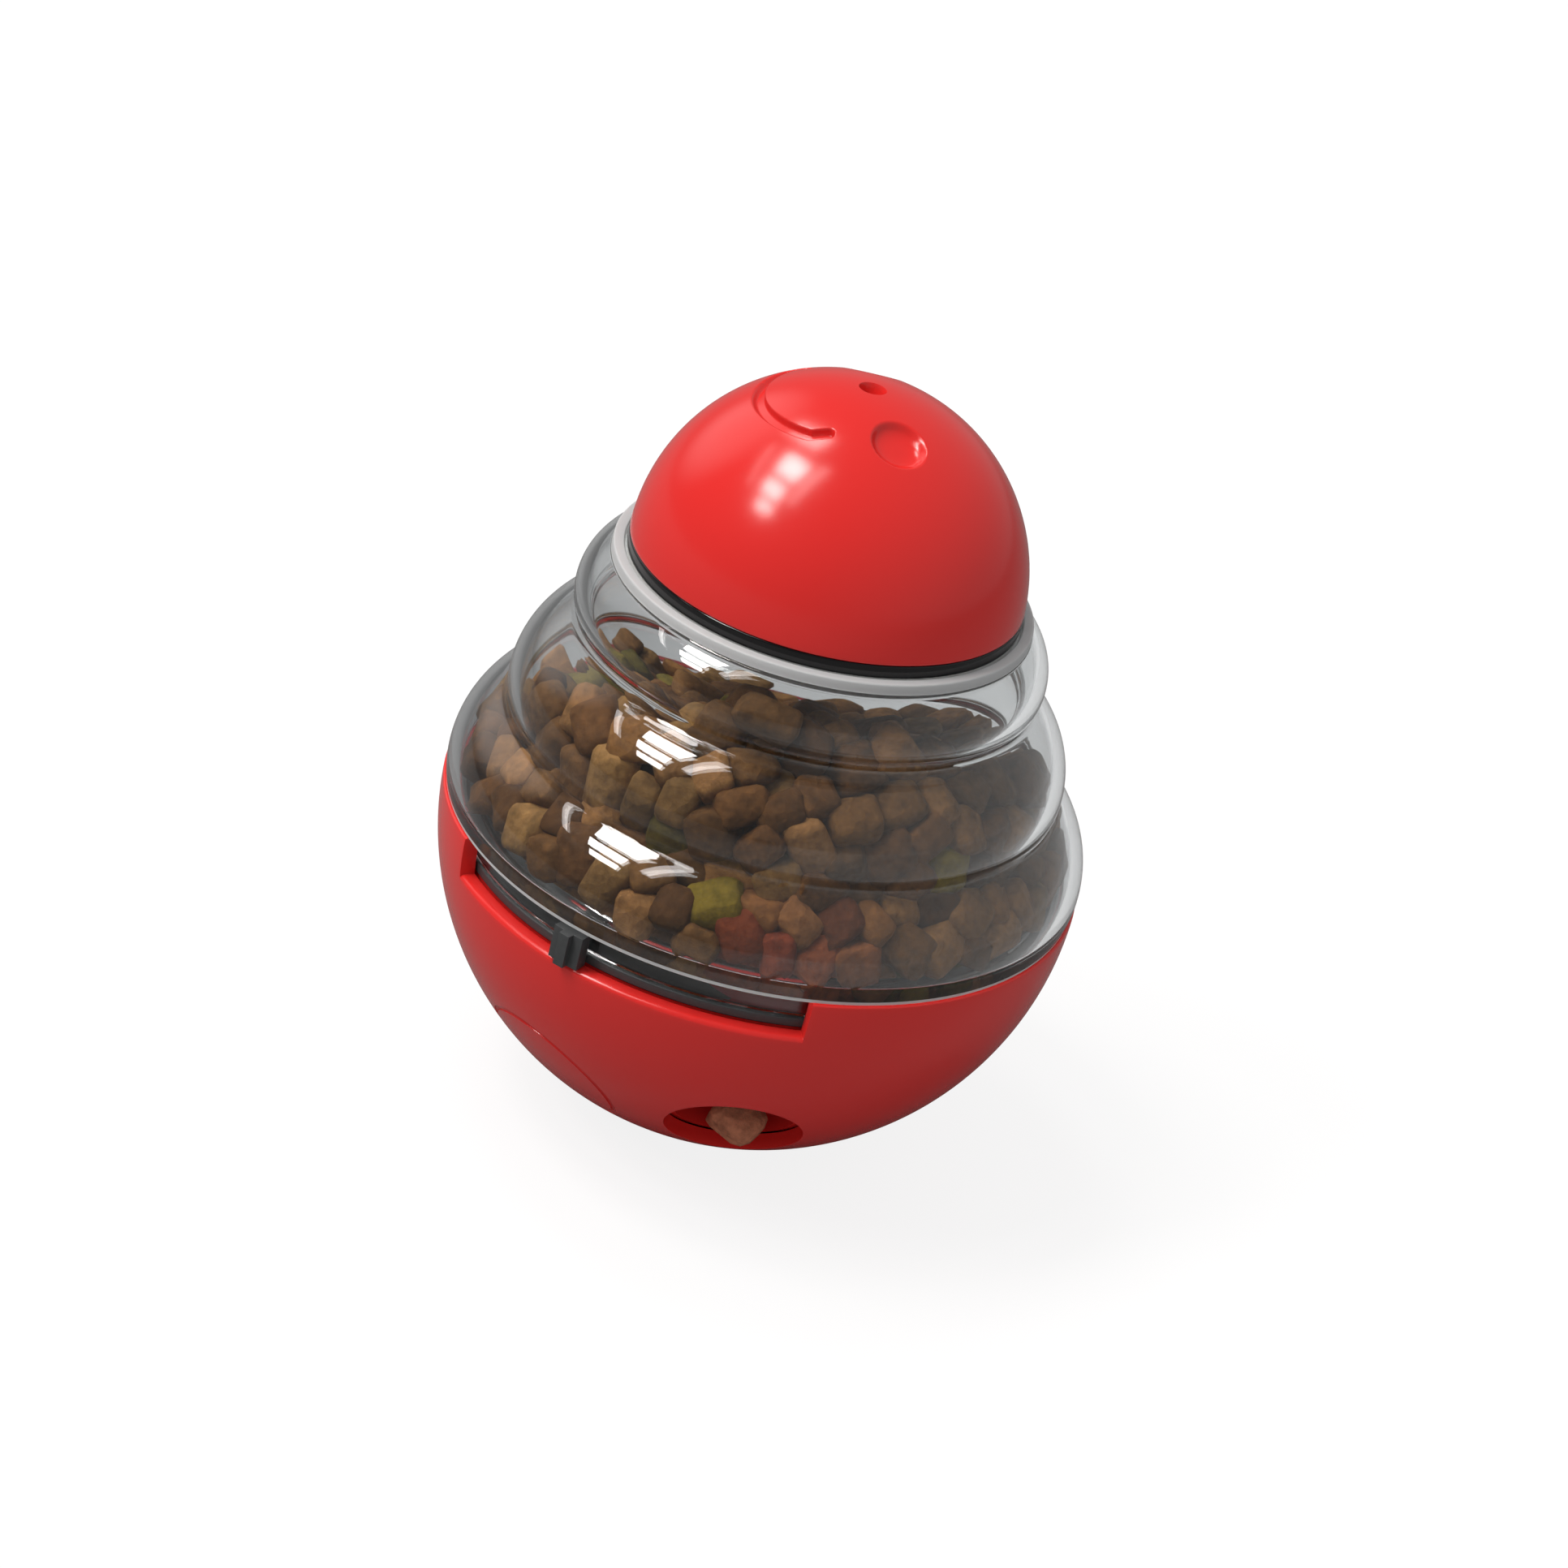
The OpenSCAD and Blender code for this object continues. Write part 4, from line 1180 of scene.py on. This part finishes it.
panel("panel_near", (-0.32, 0.31), 0.20, 0.30, 36, 11)
panel("panel_one", (-0.57, -0.01), 0.26, 0.31, 36, 24)
panel("panel_two", (-0.88, -0.21), 0.25, 0.31, 36, 23)
panel("panel_three", (-1.16, -0.43), 0.24, 0.30, 36, 22)
panel("strip_front", (-0.47, -0.28), 0.62, 0.08, 40, 7)
panel("strip_back", (-0.98, 0.22), 0.66, 0.06, 34, 6)
panel("strip_short", (-0.45, 0.53), 0.21, 0.12, 36, 8)

# %% [markdown]
# ## The room
# The room is a soft grey that gets lighter to the right, with one pale window behind on the left. Gloss sees
# that room, the clear wall sees it brighter, matt surfaces get one even fill, and the page behind is white.

# %% World
world = bpy.data.worlds.new("soft room")
bpy.context.scene.world = world
world.use_nodes = True
tree = world.node_tree
where = add(tree, "ShaderNodeTexCoord").outputs["Generated"]
side = add(tree, "ShaderNodeVectorMath", {"operation": "DOT_PRODUCT"}, {0: where, 1: (0.94, 0.20, -0.28)})
fade = add(tree, "ShaderNodeMapRange", Value=side.outputs["Value"],
           From_Min=-0.5, From_Max=0.6, To_Min=0.10, To_Max=0.35)
window = add(tree, "ShaderNodeVectorMath", {"operation": "DOT_PRODUCT"}, {0: where, 1: (-0.56, 0.69, 0.46)})
pane = add(tree, "ShaderNodeMapRange", {"interpolation_type": "SMOOTHSTEP"}, Value=window.outputs["Value"],
           From_Min=0.88, From_Max=0.99, To_Min=0.0, To_Max=1.0)
room = add(tree, "ShaderNodeMath", {"operation": "ADD"},
           {0: fade.outputs["Result"], 1: pane.outputs["Result"]})
clear = add(tree, "ShaderNodeMath", {"operation": "MULTIPLY"}, {0: fade.outputs["Result"], 1: 2.4})
path = add(tree, "ShaderNodeLightPath")
passed = add(tree, "ShaderNodeMix", Factor=path.outputs["Is Transmission Ray"],
             A=room.outputs["Value"], B=clear.outputs["Value"])
soft = add(tree, "ShaderNodeMix", Factor=path.outputs["Is Diffuse Ray"], A=passed.outputs["Result"], B=0.55)
level = add(tree, "ShaderNodeMix", Factor=path.outputs["Is Camera Ray"], A=soft.outputs["Result"], B=1.0)
feed(tree, tree.nodes["Background"], {"Strength": level.outputs["Result"], "Color": (1, 1, 1, 1)})
print("world is set")

# %% [markdown]
# ## The end
# Colours are shown as they are written.

# %% Colours as written and the end
bpy.context.scene.view_settings.view_transform = "Standard"
